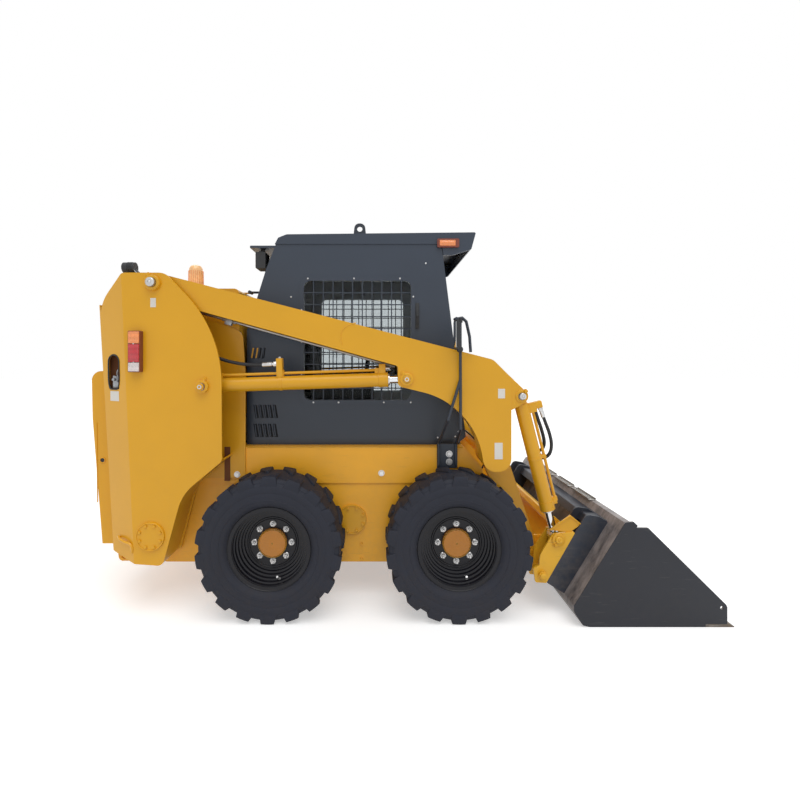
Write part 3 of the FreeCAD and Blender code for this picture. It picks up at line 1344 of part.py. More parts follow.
def bucket_sheet():
    """Floor, heel and back as one bent sheet."""
    heel_x, heel_z = BUCKET_HEEL
    top = leaned(BUCKET_BACK_LENGTH, 0.0)
    top_inner = leaned(BUCKET_BACK_LENGTH, -BUCKET_SHEET)
    sheet = [
        (heel_x, heel_z, 16),
        (top[0], top[1], 0),
        (top_inner[0], top_inner[1], 0),
        (heel_x + BUCKET_SHEET, heel_z - 4.0, 6),
        (heel_x + BUCKET_SHEET, 82.0, 12),
        (heel_x + 50.0, 8.0 + BUCKET_SHEET, 12),
        (BUCKET_FLOOR_X, BUCKET_SHEET, 0),
        (BUCKET_TIP_X - 150.0, BUCKET_SHEET, 0),
        (BUCKET_TIP_X - 150.0, 0.0, 0),
        (BUCKET_FLOOR_X, 0.0, 0),
        (heel_x + 46.0, 8.0, 20),
        (heel_x, 78.0, 20),
    ]
    return plate(sheet, -BUCKET_HALF_WIDTH + BUCKET_SIDE, BUCKET_HALF_WIDTH - BUCKET_SIDE)


def bucket_shell():
    """The sheet, its side plates and the rail along the top of the back."""
    top_x, top_z = leaned(BUCKET_BACK_LENGTH, 0.0)
    rail = [
        (top_x - 8.0, top_z - 13.0, 0),
        (top_x + 4.0, top_z + 6.0, 4),
        (top_x + 44.0, top_z + 6.0, 8),
        (top_x + 40.0, top_z - 40.0, 8),
        (top_x - 14.0, top_z - 40.0, 0),
    ]
    inner_y = BUCKET_HALF_WIDTH - BUCKET_SIDE
    side = plate(bucket_side_outline(), inner_y, BUCKET_HALF_WIDTH)
    hole = across_cylinder((BUCKET_TIP_X - 65.0, 100.0), 9.0, inner_y - 5.0, BUCKET_HALF_WIDTH + 5.0)
    side = side.cut(hole)
    return join([bucket_sheet(), plate(rail, -inner_y, inner_y), side, mirrored(side)])


def cutting_edge():
    """The thick bevelled plate across the front of the floor."""
    back = BUCKET_TIP_X - 149.7
    shape = [
        (back, 0.0, 0),
        (BUCKET_TIP_X, 0.0, 0),
        (BUCKET_TIP_X, 3.0, 0),
        (BUCKET_TIP_X - 26.0, CUTTING_EDGE - 0.3, 0),
        (back, CUTTING_EDGE - 0.3, 0),
    ]
    return plate(shape, -BUCKET_HALF_WIDTH, BUCKET_HALF_WIDTH)


def bucket_frame():
    """The hook ledge, sill and ribs on the bucket's back that the coupler grips."""
    foot, head = FACE_FOOT - FRAME_GAP, FACE_HEAD - FRAME_GAP
    hook = [(377.0, 78.0, 0), (377.0, 64.0, 0), (444.0, 0.0, 0), (460.0, 0.0, 0), (427.0, 80.0, 10)]
    ledge = leaned_plate(hook, -COUPLER_OUTER_Y + COUPLER_PLATE, COUPLER_OUTER_Y - COUPLER_PLATE)
    sill = leaned_plate([(0.0, 0.0, 0), (0.0, 82.0, 0), (12.0, 82.0, 0), (12.0, 0.0, 0)],
                        -COUPLER_OUTER_Y, COUPLER_OUTER_Y)
    rib = [(0.0, 0.0, 0), (0.0, foot, 6), (FACE_HIGH, head, 0), (430.0, head, 36),
           (456.0, 56.0, 30), (456.0, 0.0, 0)]
    ribs = []
    for y in (COUPLER_OUTER_Y - COUPLER_PLATE, LEG_OUTER_Y + PLATE_CLEARANCE):
        one = leaned_plate(rib, y, y + COUPLER_PLATE)
        ribs += [one, mirrored(one)]
    return join([ledge, sill] + ribs)


# ---------------------------------------------------------------- fittings
def tail_lamps():
    shape = [
        (REAR_AXLE_X - 756.0, 1318.0, 6),
        (REAR_AXLE_X - 691.0, 1318.0, 6),
        (REAR_AXLE_X - 691.0, 1539.0, 6),
        (REAR_AXLE_X - 756.0, 1539.0, 6),
    ]
    return pair(plate(shape, TOWER_OUTER_Y, TOWER_OUTER_Y + 34.0))


def marker_lamps():
    shape = [
        (FRONT_AXLE_X - 76.0, 2052.0, 8),
        (FRONT_AXLE_X + 54.0, 2052.0, 8),
        (FRONT_AXLE_X + 54.0, 2104.0, 8),
        (FRONT_AXLE_X - 76.0, 2104.0, 8),
    ]
    return pair(plate(shape, ROOF_HALF_WIDTH, ROOF_HALF_WIDTH + 12.0))


BEACON_PLACE = (REAR_AXLE_X - 573.0, -300.0)


def beacon():
    """The flashing lamp on the engine cover, with its black base."""
    x, y = BEACON_PLACE
    foot = FreeCAD.Vector(x, y, HOOD_TOP)
    base = Part.makeCylinder(54.0, 60.0, foot, UP)
    dome = Part.makeCylinder(46.0, 140.0, foot, UP)
    crown = Part.makeSphere(46.0, foot + UP * 136.0)
    return join([base, dome, crown])


LAMP_CLEARANCE = 8.0           # between the square lamps and the cab's back


def work_lamps():
    """Round lamps on the towers' tops and square ones under the lip behind the roof."""
    x = REAR_AXLE_X - 811.0
    y = TOWER_INNER_Y + 100.0
    z = TOWER_TOP + 44.0
    round_lamp = join([
        Part.makeCylinder(30.0, 62.0, FreeCAD.Vector(x - 31.0, y, z), FORWARD),
        block(x + 12.0, x + 90.0, y - 20.0, y + 20.0, TOWER_TOP, TOWER_TOP + 5.0),
        plate([(x + 10.0, z, 0), (x + 52.0, TOWER_TOP + 3.0, 0), (x + 66.0, TOWER_TOP + 3.0, 0),
               (x + 24.0, z, 0)], y - 15.0, y + 15.0),
    ])
    x = CAB_SLOPE_HIGH[0] - LAMP_CLEARANCE - 25.0
    y = CAB_HALF_WIDTH - 70.0
    under = CAB_TOP - 22.0
    square_lamp = join([
        block(x - 30.0, x + 25.0, y - 55.0, y + 55.0, under - 118.0, under - 20.0),
        block(x - 12.0, x + 8.0, y - 15.0, y + 15.0, under - 20.0, under),
    ])
    return Part.makeCompound([round_lamp, mirrored(round_lamp), square_lamp, mirrored(square_lamp)])


EYE_HOLE_RADIUS = 16.0
EYE_PLACE_X = REAR_AXLE_X + 464.0


def lifting_eyes():
    """Two eyes on the roof for a crane."""
    base_z = CAB_TOP + 62.0
    x = EYE_PLACE_X
    shape = [
        (x - 38.0, line_z(ROOF_CREST_BACK, ROOF_CREST_FRONT, x - 38.0), 0),
        (x + 38.0, line_z(ROOF_CREST_BACK, ROOF_CREST_FRONT, x + 38.0), 0),
        (x + 30.0, base_z + 72.0, 30),
        (x - 30.0, base_z + 72.0, 30),
    ]
    y = CAB_HALF_WIDTH - 40.0
    ear = plate(shape, y - 6.0, y + 6.0)
    ear = ear.cut(across_cylinder((x, base_z + 38.0), EYE_HOLE_RADIUS, y - 10.0, y + 10.0))
    return pair(ear)


TIE_HOLE_RADIUS = 20.0
TIE_PLACE = (REAR_AXLE_X - 850.0, 330.0)


def tie_down_loops():
    """A plate with a round hole under each tower, for lashing."""
    x, z = TIE_PLACE
    y = BAND_Y + 90.0
    corners = [
        (x - 40.0, line_z(TOWER_FLOOR_FRONT, TOWER_FLOOR_BACK, x - 40.0), 0),
        (x - 30.0, z - 75.0, 25),
        (x + 36.0, z - 75.0, 25),
        (x + 56.0, line_z(TOWER_FLOOR_FRONT, TOWER_FLOOR_BACK, x + 56.0), 0),
    ]
    loop = plate(corners, y - 8.0, y + 8.0)
    loop = loop.cut(across_cylinder((x + 2.0, z - 44.0), TIE_HOLE_RADIUS, y - 10.0, y + 10.0))
    return pair(loop)


MIRROR_BAR_RADIUS = 8.0
MIRROR_TOP = 1594.0
MIRROR_BAR_Y = ARM_OUTER_Y + 25.0


def mirror_stand():
    """A plate bolted to the hull with a braced bar that goes up outside the arm."""
    x = FRONT_AXLE_X
    foot = BAND_Y + 8.0 + MIRROR_BAR_RADIUS - 2.0
    base = block(x - 85.0, x + 32.0, BAND_Y, BAND_Y + 8.0, 756.0, 896.0)
    front = bar([(x + 24.0, foot, 775.0), (x + 24.0, foot, 900.0), (x + 18.0, MIRROR_BAR_Y, 1010.0),
                 (x + 15.5, MIRROR_BAR_Y, 1610.0)], MIRROR_BAR_RADIUS)
    brace = bar([(x - 76.0, foot, 775.0), (x - 76.0, foot, 900.0), (x - 50.0, MIRROR_BAR_Y, 1060.0),
                 (x + 16.0, MIRROR_BAR_Y, 1275.0)], MIRROR_BAR_RADIUS)
    rest = MIRROR_TOP + MIRROR_BAR_RADIUS + 0.3
    top = bar([(x - 14.0, MIRROR_BAR_Y + 60.0, rest), (x - 14.0, MIRROR_BAR_Y, rest),
               (x + 26.0, MIRROR_BAR_Y, rest + 8.0), (x + 48.0, MIRROR_BAR_Y, rest - 12.0),
               (x + 66.0, MIRROR_BAR_Y, 1510.0), (x + 72.0, MIRROR_BAR_Y, 1425.0)], MIRROR_BAR_RADIUS)
    return join([base, front, brace, top])


def mirror_heads():
    x = FRONT_AXLE_X - 14.0
    y = MIRROR_BAR_Y + 12.0
    shape = [(x - 8.0, 1440.0, 5), (x + 8.0, 1440.0, 5), (x + 8.0, MIRROR_TOP, 5), (x - 8.0, MIRROR_TOP, 5)]
    head = plate(shape, y, y + 96.0)
    return pair(head)


# ---------------------------------------------------------------- build
def build():
    os.makedirs("parts", exist_ok=True)
    save("hull", hull())
    save("side_covers", side_covers())
    save("engine_block", engine_block())
    save("tower_right", tower(-1))
    save("tower_left", tower(1))
    save("tower_pins", tower_pins())
    save("engine_hood", engine_hood())
    save("hinges", hinges())
    save("rear_door", rear_door())
    save("rear_grille", rear_grille())
    save("cab_side_right", cab_side(-1))
    save("cab_side_left", cab_side(1))
    save("window_guards", pair(window_guard()))
    save("side_windows", pair(side_window()))
    save("cab_roof", cab_roof())
    save("cab_back", cab_back())
    save("rear_window", rear_window())
    save("cab_floor", cab_floor())
    save("cab_front_frame", cab_front_frame())
    save("front_door", front_door())
    save("front_door_glass", front_door_glass())
    save("seat_base", seat_base())
    save("seat_cushion", seat_cushion())
    save("seat_back", seat_back())
    save("control_consoles", control_consoles())
    save("axle_housings", axle_housings())
    for name, axle_x, side in WHEELS:
        save("tyre_" + name, placed_wheel(tyre(), axle_x, side))
        save("rim_" + name, placed_wheel(rim(), axle_x, side))
        save("hub_" + name, placed_wheel(hub(), axle_x, side))
    save("boom_arm_right", boom_arm(-1))
    save("boom_arm_left", boom_arm(1))
    save("boom_cross_tube", boom_cross_tube())
    save("boom_pins", boom_pins())
    save("boom_pipes", boom_pipes())
    save("lift_barrels", lift_barrels())
    save("lift_rods", lift_rods())
    save("tilt_barrels", tilt_barrels())
    save("tilt_rods", tilt_rods())
    save("coupler", coupler())
    save("coupler_pins", coupler_pins())
    save("bucket_shell", bucket_shell())
    save("cutting_edge", cutting_edge())
    save("bucket_frame", bucket_frame())
    save("tail_lamps", tail_lamps())
    save("marker_lamps", marker_lamps())
    save("beacon", beacon())
    save("work_lamps", work_lamps())
    save("lifting_eyes", lifting_eyes())
    save("tie_down_loops", tie_down_loops())
    save("mirror_stands", pair(mirror_stand()))
    save("mirror_heads", mirror_heads())


build()
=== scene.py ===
"""Compact wheel loader: finishes and fittings around the fixed frame.

Metres. +X points forward to the bucket, +Y to the machine's left, +Z up. Each operator makes one
piece or one group of like pieces, and main() calls them in order.
"""
from math import cos, exp, pi, radians, sin

import bmesh
import bpy
from mathutils import Matrix, Vector


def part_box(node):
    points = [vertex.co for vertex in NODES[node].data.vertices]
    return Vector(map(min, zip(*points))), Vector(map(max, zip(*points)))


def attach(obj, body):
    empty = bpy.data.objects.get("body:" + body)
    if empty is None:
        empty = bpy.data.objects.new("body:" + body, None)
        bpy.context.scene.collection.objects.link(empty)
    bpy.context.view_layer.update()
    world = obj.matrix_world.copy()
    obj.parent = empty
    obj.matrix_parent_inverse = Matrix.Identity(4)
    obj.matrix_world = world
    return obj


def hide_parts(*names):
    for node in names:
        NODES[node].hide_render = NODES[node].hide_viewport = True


bl_info = {
    "name": "Compact Wheel Loader Parts",
    "version": (1, 0, 0),
    "blender": (4, 5, 0),
    "location": "3D View > Sidebar > Loader",
    "description": "Adds tyres, fittings, lamps, seat and finishes to the loader's frame",
    "category": "Add Mesh",
}

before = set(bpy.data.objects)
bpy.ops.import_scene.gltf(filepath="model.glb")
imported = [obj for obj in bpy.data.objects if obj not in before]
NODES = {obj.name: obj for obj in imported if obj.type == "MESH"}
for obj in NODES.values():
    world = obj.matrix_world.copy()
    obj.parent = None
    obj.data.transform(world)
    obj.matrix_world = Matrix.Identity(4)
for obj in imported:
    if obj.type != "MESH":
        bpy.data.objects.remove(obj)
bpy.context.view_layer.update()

ACROSS = Vector((0, 1, 0))
RIGHT = Vector((0, -1, 0))
FORWARD = Vector((1, 0, 0))
UP = Vector((0, 0, 1))
MIRROR = Matrix.Scale(-1, 4, ACROSS)
WHEELS = ("front_right", "front_left", "rear_right", "rear_left")


def srgb(red, green, blue):
    """A colour as a shader takes it, from its usual 0 to 255 values."""
    return tuple(((value / 255 + 0.055) / 1.055) ** 2.4 for value in (red, green, blue))


# ---------------------------------------------------------------- sizes and colours
class LoaderSizes(bpy.types.PropertyGroup):
    """Sizes of the added pieces."""
    lugs: bpy.props.IntProperty(name="Lugs", description="Tread lugs on each side of a tyre",
                                default=18, min=8, max=24)
    lug_width: bpy.props.FloatProperty(name="Lug Width", description="Width of a lug at the shoulder",
                                       default=0.106, unit="LENGTH")
    nut_size: bpy.props.FloatProperty(name="Wheel Nut", description="Wheel nut across its flats",
                                      default=0.02, unit="LENGTH")
    nut_circle: bpy.props.FloatProperty(name="Nut Circle", description="Radius of the wheel nuts' circle",
                                        default=0.1016, unit="LENGTH")
    hose_radius: bpy.props.FloatProperty(name="Hose Radius", description="Radius of the hydraulic hoses",
                                         default=0.0095, unit="LENGTH")
    pad_fill: bpy.props.FloatProperty(name="Seat Fill", description="How tight the seat's pads are",
                                      default=0.7, min=0.0, max=1.0, subtype="FACTOR")
    pad_rise: bpy.props.FloatProperty(name="Seat Rise", description="How far the pads may swell",
                                      default=0.012, unit="LENGTH")


class LoaderColours(bpy.types.PropertyGroup):
    """Colours of the finishes."""
    yellow: bpy.props.FloatVectorProperty(name="Yellow", description="Body paint",
                                          default=srgb(229, 168, 26), subtype="COLOR", min=0, max=1)
    cab: bpy.props.FloatVectorProperty(name="Cab", description="Cab paint",
                                       default=srgb(52, 62, 77), subtype="COLOR", min=0, max=1)
    bucket: bpy.props.FloatVectorProperty(name="Bucket", description="Bucket paint",
                                          default=srgb(18, 22, 34), subtype="COLOR", min=0, max=1)
    rubber: bpy.props.FloatVectorProperty(name="Rubber", description="Tyre rubber",
                                          default=srgb(20, 25, 40), subtype="COLOR", min=0, max=1)
    seat: bpy.props.FloatVectorProperty(name="Seat", description="Seat cover",
                                        default=srgb(40, 41, 44), subtype="COLOR", min=0, max=1)
    dust: bpy.props.FloatVectorProperty(name="Dust", description="Dust on the lower parts",
                                        default=srgb(150, 130, 106), subtype="COLOR", min=0, max=1)


# ---------------------------------------------------------------- selection and finishing
def object_mode():
    bpy.ops.object.mode_set(mode="OBJECT")


def edit_mode():
    bpy.ops.object.mode_set(mode="EDIT")


def deselect():
    if bpy.context.object is not None and bpy.context.object.mode != "OBJECT":
        object_mode()
    bpy.ops.object.select_all(action="DESELECT")


def activate(piece):
    deselect()
    piece.select_set(True)
    bpy.context.view_layer.objects.active = piece


def settled(name):
    """Names the active piece and moves its place into its mesh."""
    piece = bpy.context.active_object
    piece.name = piece.data.name = name
    bpy.ops.object.transform_apply(location=True, rotation=True, scale=True)
    return piece


def named(name):
    piece = bpy.context.active_object
    piece.name = name
    return piece


def apply_modifiers(piece):
    activate(piece)
    for modifier in list(piece.modifiers):
        bpy.ops.object.modifier_apply(modifier=modifier.name)
    return piece


def pick(piece, test):
    """Opens the piece in edit mode with only the faces that pass a test selected."""
    activate(piece)
    edit_mode()
    bpy.ops.mesh.select_all(action="DESELECT")
    shape = bmesh.from_edit_mesh(piece.data)
    for face in shape.faces:
        if test(face):
            face.select = True
    shape.select_flush_mode()
    bmesh.update_edit_mesh(piece.data)


def bevelled(piece, width, segments=2, angle=40.0):
    modifier = piece.modifiers.new("edges", "BEVEL")
    modifier.width = width
    modifier.segments = segments
    modifier.limit_method = "ANGLE"
    modifier.angle_limit = radians(angle)
    return apply_modifiers(piece)


def cleaned(piece):
    """Merges doubles and turns every face outwards."""
    activate(piece)
    edit_mode()
    bpy.ops.mesh.select_all(action="SELECT")
    bpy.ops.mesh.remove_doubles(threshold=0.00002)
    bpy.ops.mesh.normals_make_consistent(inside=False)
    object_mode()
    return piece


def joined(name, pieces):
    deselect()
    for piece in pieces:
        piece.select_set(True)
    bpy.context.view_layer.objects.active = pieces[0]
    if len(pieces) > 1:
        bpy.ops.object.join()
    pieces[0].name = pieces[0].data.name = name
    return pieces[0]


def placed(template, name, place):
    """A copy of the template with its own mesh, moved by a matrix."""
    piece = template.copy()
    piece.data = template.data.copy()
    piece.name = piece.data.name = name
    bpy.context.collection.objects.link(piece)
    piece.data.transform(place)
    if place.determinant() < 0:
        piece.data.flip_normals()
    return piece


def shift(place):
    """A matrix that moves a shape along the axes."""
    return Matrix.Translation(Vector(place))


def moved(piece, place):
    """The piece itself, moved by a matrix."""
    piece.data.transform(place)
    return piece


def spread(name, template, places):
    """One piece from a copy of the template at each place."""
    pieces = [placed(template, name, place) for place in places]
    bpy.data.objects.remove(template)
    return joined(name, pieces)


def both_sides(name, piece):
    """The piece and its mirror image across the machine, as one."""
    return joined(name, [piece, placed(piece, name, MIRROR)])


def finished(piece, body, finish, angle=35.0):
    """Sets the finish, smooths the faces, and lets the piece move with its body."""
    activate(piece)
    piece.data.materials.clear()
    piece.data.materials.append(bpy.data.materials[finish])
    bpy.ops.object.shade_smooth_by_angle(angle=radians(angle))
    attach(piece, body)
    return piece


def paired(name, piece, body, finish, angle=35.0):
    """Finishes the piece and its mirror image across the machine, as one."""
    return finished(both_sides(name, piece), body, finish, angle)


def turned_to(start, end):
    """The matrix that turns one direction into another."""
    return start.rotation_difference(end).to_matrix().to_4x4()


def facing(place, axis, turn=0.0):
    """A matrix that takes a shape built up along Z to a place, looking along axis."""
    return shift(place) @ turned_to(UP, Vector(axis)) @ Matrix.Rotation(turn, 4, "Z")


# ---------------------------------------------------------------- shapes
def box(name, low, high, bevel=0.0, segments=2):
    deselect()
    middle = [(a + b) / 2 for a, b in zip(low, high)]
    size = [b - a for a, b in zip(low, high)]
    bpy.ops.mesh.primitive_cube_add(size=1.0, location=middle, scale=size)
    piece = settled(name)
    return bevelled(piece, bevel, segments) if bevel else piece


def rod(name, start, end, radius, sides=24, bevel=0.0, end_radius=None, segments=2):
    """A round bar from start to end."""
    deselect()
    start, end = Vector(start), Vector(end)
    bpy.ops.mesh.primitive_cone_add(
        vertices=sides, radius1=radius, radius2=radius if end_radius is None else end_radius,
        depth=(end - start).length, location=(start + end) / 2,
        rotation=UP.rotation_difference(end - start).to_euler())
    piece = settled(name)
    return bevelled(piece, bevel, segments) if bevel else piece


def chain(name, points):
    """Edges from point to point, drawn by extruding one corner. It is left in edit mode."""
    deselect()
    bpy.ops.mesh.primitive_plane_add(size=0.001, location=points[0])
    piece = bpy.context.active_object
    piece.name = piece.data.name = name
    edit_mode()
    bpy.ops.mesh.merge(type="CENTER")
    for start, end in zip(points, points[1:]):
        bpy.ops.mesh.extrude_region_move(TRANSFORM_OT_translate={"value": Vector(end) - Vector(start)})
    bpy.ops.mesh.select_all(action="SELECT")
    bpy.ops.mesh.remove_doubles(threshold=0.00002)
    return piece


def plate(name, outline, thickness, bevel=0.0, segments=2):
    """A flat shape from its outline, given its thickness as a vector."""
    chain(name, [*outline, outline[0]])
    bpy.ops.mesh.edge_face_add()
    bpy.ops.mesh.extrude_region_move(TRANSFORM_OT_translate={"value": Vector(thickness)})
    bpy.ops.mesh.select_all(action="SELECT")
    bpy.ops.mesh.normals_make_consistent(inside=False)
    object_mode()
    piece = settled(name)
    return bevelled(piece, bevel, segments) if bevel else piece


def side_plate(name, outline, inner, outer, bevel=0.0, segments=2):
    """A plate drawn in side view, from inner to outer across the machine."""
    return plate(name, [(x, inner, z) for x, z in outline], ACROSS * (outer - inner), bevel, segments)


def turned(name, profile, place=(0, 0, 0), axis=UP, steps=32, ring=False):
    """A turned shape from pairs of radius and station along axis. A ring's profile is closed."""
    place, axis = Vector(place), Vector(axis).normalized()
    side = FORWARD if abs(axis.x) < 0.5 else UP
    side = (side - axis * side.dot(axis)).normalized()
    points = [place + side * radius + axis * station for radius, station in profile]
    chain(name, [*points, points[0]] if ring else points)
    bpy.ops.mesh.spin(steps=steps, angle=2 * pi, center=place, axis=axis)
    object_mode()
    piece = bpy.context.active_object
    cleaned(piece)
    return settled(name)


def hose(name, points, radius, sides=12, closed=False):
    """A round tube along a smooth line through its control points."""
    deselect()
    curve = bpy.data.curves.new(name, "CURVE")
    curve.dimensions = "3D"
    spline = curve.splines.new("NURBS")
    spline.points.add(len(points) - 1)
    for point, place in zip(spline.points, points):
        point.co = (*place, 1.0)
    spline.use_cyclic_u = closed
    spline.order_u = 3
    spline.use_endpoint_u = not closed
    spline.resolution_u = 5
    curve.bevel_depth = radius
    curve.bevel_resolution = max(1, sides // 4 - 1)
    curve.use_fill_caps = not closed
    piece = bpy.data.objects.new(name, curve)
    bpy.context.collection.objects.link(piece)
    activate(piece)
    bpy.ops.object.convert(target="MESH")
    return cleaned(bpy.context.active_object)


def bolt_head(across, height, washer=1.3):
    """A hexagon head with its washer, from the origin up along Z."""
    head = rod("head", (0, 0, height * 0.2), (0, 0, height), across / 2 / cos(pi / 6), 6, across * 0.05,
               segments=1)
    ring = rod("ring", (0, 0, 0), (0, 0, height * 0.24), across / 2 * washer, 20)
    return joined("bolt", [head, ring])


def pan_head(radius, height):
    """A low domed screw head with a socket, from the origin up along Z."""
    return turned("screw", [(0, height * 0.6), (radius * 0.38, height * 0.6), (radius * 0.45, height),
                            (radius * 0.8, height * 0.8), (radius, height * 0.25), (radius, 0), (0, 0)],
                  steps=12)


# ---------------------------------------------------------------- shader groups
def shader_group(name, inputs, outputs):
    group = bpy.data.node_groups.new(name, "ShaderNodeTree")
    for label, kind, default in inputs:
        socket = group.interface.new_socket(name=label, in_out="INPUT", socket_type=kind)
        socket.default_value = default
    for label, kind in outputs:
        group.interface.new_socket(name=label, in_out="OUTPUT", socket_type=kind)
    return group, group.nodes.new("NodeGroupInput").outputs, group.nodes.new("NodeGroupOutput").inputs


def feed(tree, socket, value):
    if hasattr(value, "is_output"):
        tree.links.new(value, socket)
    else:
        socket.default_value = value


def reckon(tree, operation, first, second=0.0, clamp=False):
    node = tree.nodes.new("ShaderNodeMath")
    node.operation = operation
    node.use_clamp = clamp
    feed(tree, node.inputs[0], first)
    feed(tree, node.inputs[1], second)
    return node.outputs[0]


def blended(tree, factor, first, second):
    node = tree.nodes.new("ShaderNodeMix")
    node.data_type = "RGBA"
    feed(tree, node.inputs["Factor"], factor)
    feed(tree, node.inputs[6], first)
    feed(tree, node.inputs[7], second)
    return node.outputs[2]


def noise(tree, vector, scale, detail=3.0, roughness=0.55):
    node = tree.nodes.new("ShaderNodeTexNoise")
    tree.links.new(vector, node.inputs["Vector"])
    feed(tree, node.inputs["Scale"], scale)
    node.inputs["Detail"].default_value = detail
    node.inputs["Roughness"].default_value = roughness
    return node.outputs["Fac"]


def stretched(tree, vector, scale, turn=(0, 0, 0)):
    node = tree.nodes.new("ShaderNodeMapping")
    node.inputs["Scale"].default_value = scale
    node.inputs["Rotation"].default_value = turn
    tree.links.new(vector, node.inputs["Vector"])
    return node.outputs[0]


def spanned(tree, value, low, high):
    """The value as 0 at low and 1 at high, clamped."""
    node = tree.nodes.new("ShaderNodeMapRange")
    tree.links.new(value, node.inputs["Value"])
    node.inputs["From Min"].default_value = low
    node.inputs["From Max"].default_value = high
    return node.outputs["Result"]


def object_place(tree):
    return tree.nodes.new("ShaderNodeTexCoord").outputs["Object"]


def build_weathering():
    """Mottled colour, dust that thickens towards the ground, and a fine uneven surface."""
    tree, given, result = shader_group("Weathering", [
        ("Colour", "NodeSocketColor", (0.5, 0.5, 0.5, 1)),
        ("Shade Colour", "NodeSocketColor", (0.4, 0.4, 0.4, 1)),
        ("Dust Colour", "NodeSocketColor", (0.33, 0.27, 0.2, 1)),
        ("Dust", "NodeSocketFloat", 0.2),
        ("Dust Height", "NodeSocketFloat", 0.6),
        ("Mottle Scale", "NodeSocketFloat", 3.0),
        ("Roughness", "NodeSocketFloat", 0.4),
        ("Roughness Spread", "NodeSocketFloat", 0.15),
        ("Grain Scale", "NodeSocketFloat", 160.0),
    ], [("Colour", "NodeSocketColor"), ("Roughness", "NodeSocketFloat"), ("Height", "NodeSocketFloat")])
    place = object_place(tree)
    split = tree.nodes.new("ShaderNodeSeparateXYZ")
    tree.links.new(place, split.inputs[0])
    mottle = spanned(tree, noise(tree, place, given["Mottle Scale"]), 0.32, 0.72)
    colour = blended(tree, mottle, given["Colour"], given["Shade Colour"])
    height = reckon(tree, "DIVIDE", split.outputs["Z"], given["Dust Height"])
    low = reckon(tree, "SUBTRACT", 1.0, height, True)
    specks = noise(tree, place, 26.0, 6.0, 0.7)
    cloud = noise(tree, place, 4.5, 4.0, 0.6)
    settled_dust = reckon(tree, "MULTIPLY", reckon(tree, "ADD", low, 0.12), spanned(tree, specks, 0.36, 0.72))
    settled_dust = reckon(tree, "MULTIPLY", settled_dust, reckon(tree, "ADD", cloud, 0.35))
    dust = reckon(tree, "MULTIPLY", settled_dust, given["Dust"], True)
    tree.links.new(blended(tree, dust, colour, given["Dust Colour"]), result["Colour"])
    uneven = reckon(tree, "MULTIPLY", reckon(tree, "SUBTRACT", specks, 0.5), given["Roughness Spread"])
    rough = reckon(tree, "ADD", given["Roughness"], uneven)
    rough = reckon(tree, "ADD", rough, reckon(tree, "MULTIPLY", dust, 0.4), True)
    tree.links.new(rough, result["Roughness"])
    grain = noise(tree, place, given["Grain Scale"], 2.0)
    tree.links.new(reckon(tree, "ADD", grain, reckon(tree, "MULTIPLY", specks, 0.6)), result["Height"])


def build_scuffs():
    """A mask of rubbed patches and long thin scratches."""
    tree, given, result = shader_group("Scuffs", [
        ("Amount", "NodeSocketFloat", 0.5), ("Scale", "NodeSocketFloat", 8.0),
        ("Threshold", "NodeSocketFloat", 0.6),
    ], [("Mask", "NodeSocketFloat")])
    place = object_place(tree)
    patches = noise(tree, place, given["Scale"], 6.0, 0.75)
    patches = reckon(tree, "MULTIPLY", reckon(tree, "SUBTRACT", patches, given["Threshold"]), 9.0, True)
    lines = noise(tree, stretched(tree, place, (7.0, 7.0, 60.0), (0.3, 0.5, 0.2)), 1.0, 3.0)
    lines = spanned(tree, lines, 0.63, 0.7)
    both = reckon(tree, "MAXIMUM", patches, reckon(tree, "MULTIPLY", lines, 0.6))
    tree.links.new(reckon(tree, "MULTIPLY", both, given["Amount"], True), result["Mask"])


def use_group(tree, name, values):
    node = tree.nodes.new("ShaderNodeGroup")
    node.node_tree = bpy.data.node_groups[name]
    for label, value in values.items():
        node.inputs[label].default_value = value
    return node.outputs


def bumped(tree, height, strength, distance):
    node = tree.nodes.new("ShaderNodeBump")
    node.inputs["Strength"].default_value = strength
    node.inputs["Distance"].default_value = distance
    tree.links.new(height, node.inputs["Height"])
    return node.outputs["Normal"]


def surface(name, **values):
    """A material whose shader has these plain values."""
    material = bpy.data.materials.new(name)
    material.use_nodes = True
    tree = material.node_tree
    shader = next(node for node in tree.nodes if node.type == "BSDF_PRINCIPLED")
    for label, value in values.items():
        shader.inputs[label.replace("_", " ")].default_value = value
    return tree, shader


def shaded(colour, factor):
    return tuple(channel * factor for channel in colour[:3])


def weathered(name, colour, shade=0.85, dust=0.3, dust_height=0.7, mottle=3.0, roughness=0.4, spread=0.15,
              grain=160.0, bump=0.12, depth=0.0006, scuffs=None, **values):
    """A painted, moulded or bare surface with mottling, dust and grain."""
    colours = bpy.context.scene.loader_colours
    tree, shader = surface(name, **values)
    skin = use_group(tree, "Weathering", {
        "Colour": (*colour[:3], 1), "Shade Colour": (*shaded(colour, shade), 1),
        "Dust Colour": (*colours.dust[:3], 1), "Dust": dust, "Dust Height": dust_height,
        "Mottle Scale": mottle, "Roughness": roughness, "Roughness Spread": spread, "Grain Scale": grain,
    })
    result = skin["Colour"]
    if scuffs:
        amount, scale, threshold, bare = scuffs
        mask = use_group(tree, "Scuffs", {"Amount": amount, "Scale": scale, "Threshold": threshold})
        result = blended(tree, mask["Mask"], result, (*bare, 1))
    tree.links.new(result, shader.inputs["Base Color"])
    tree.links.new(skin["Roughness"], shader.inputs["Roughness"])
    tree.links.new(bumped(tree, skin["Height"], bump, depth), shader.inputs["Normal"])
    return tree, shader


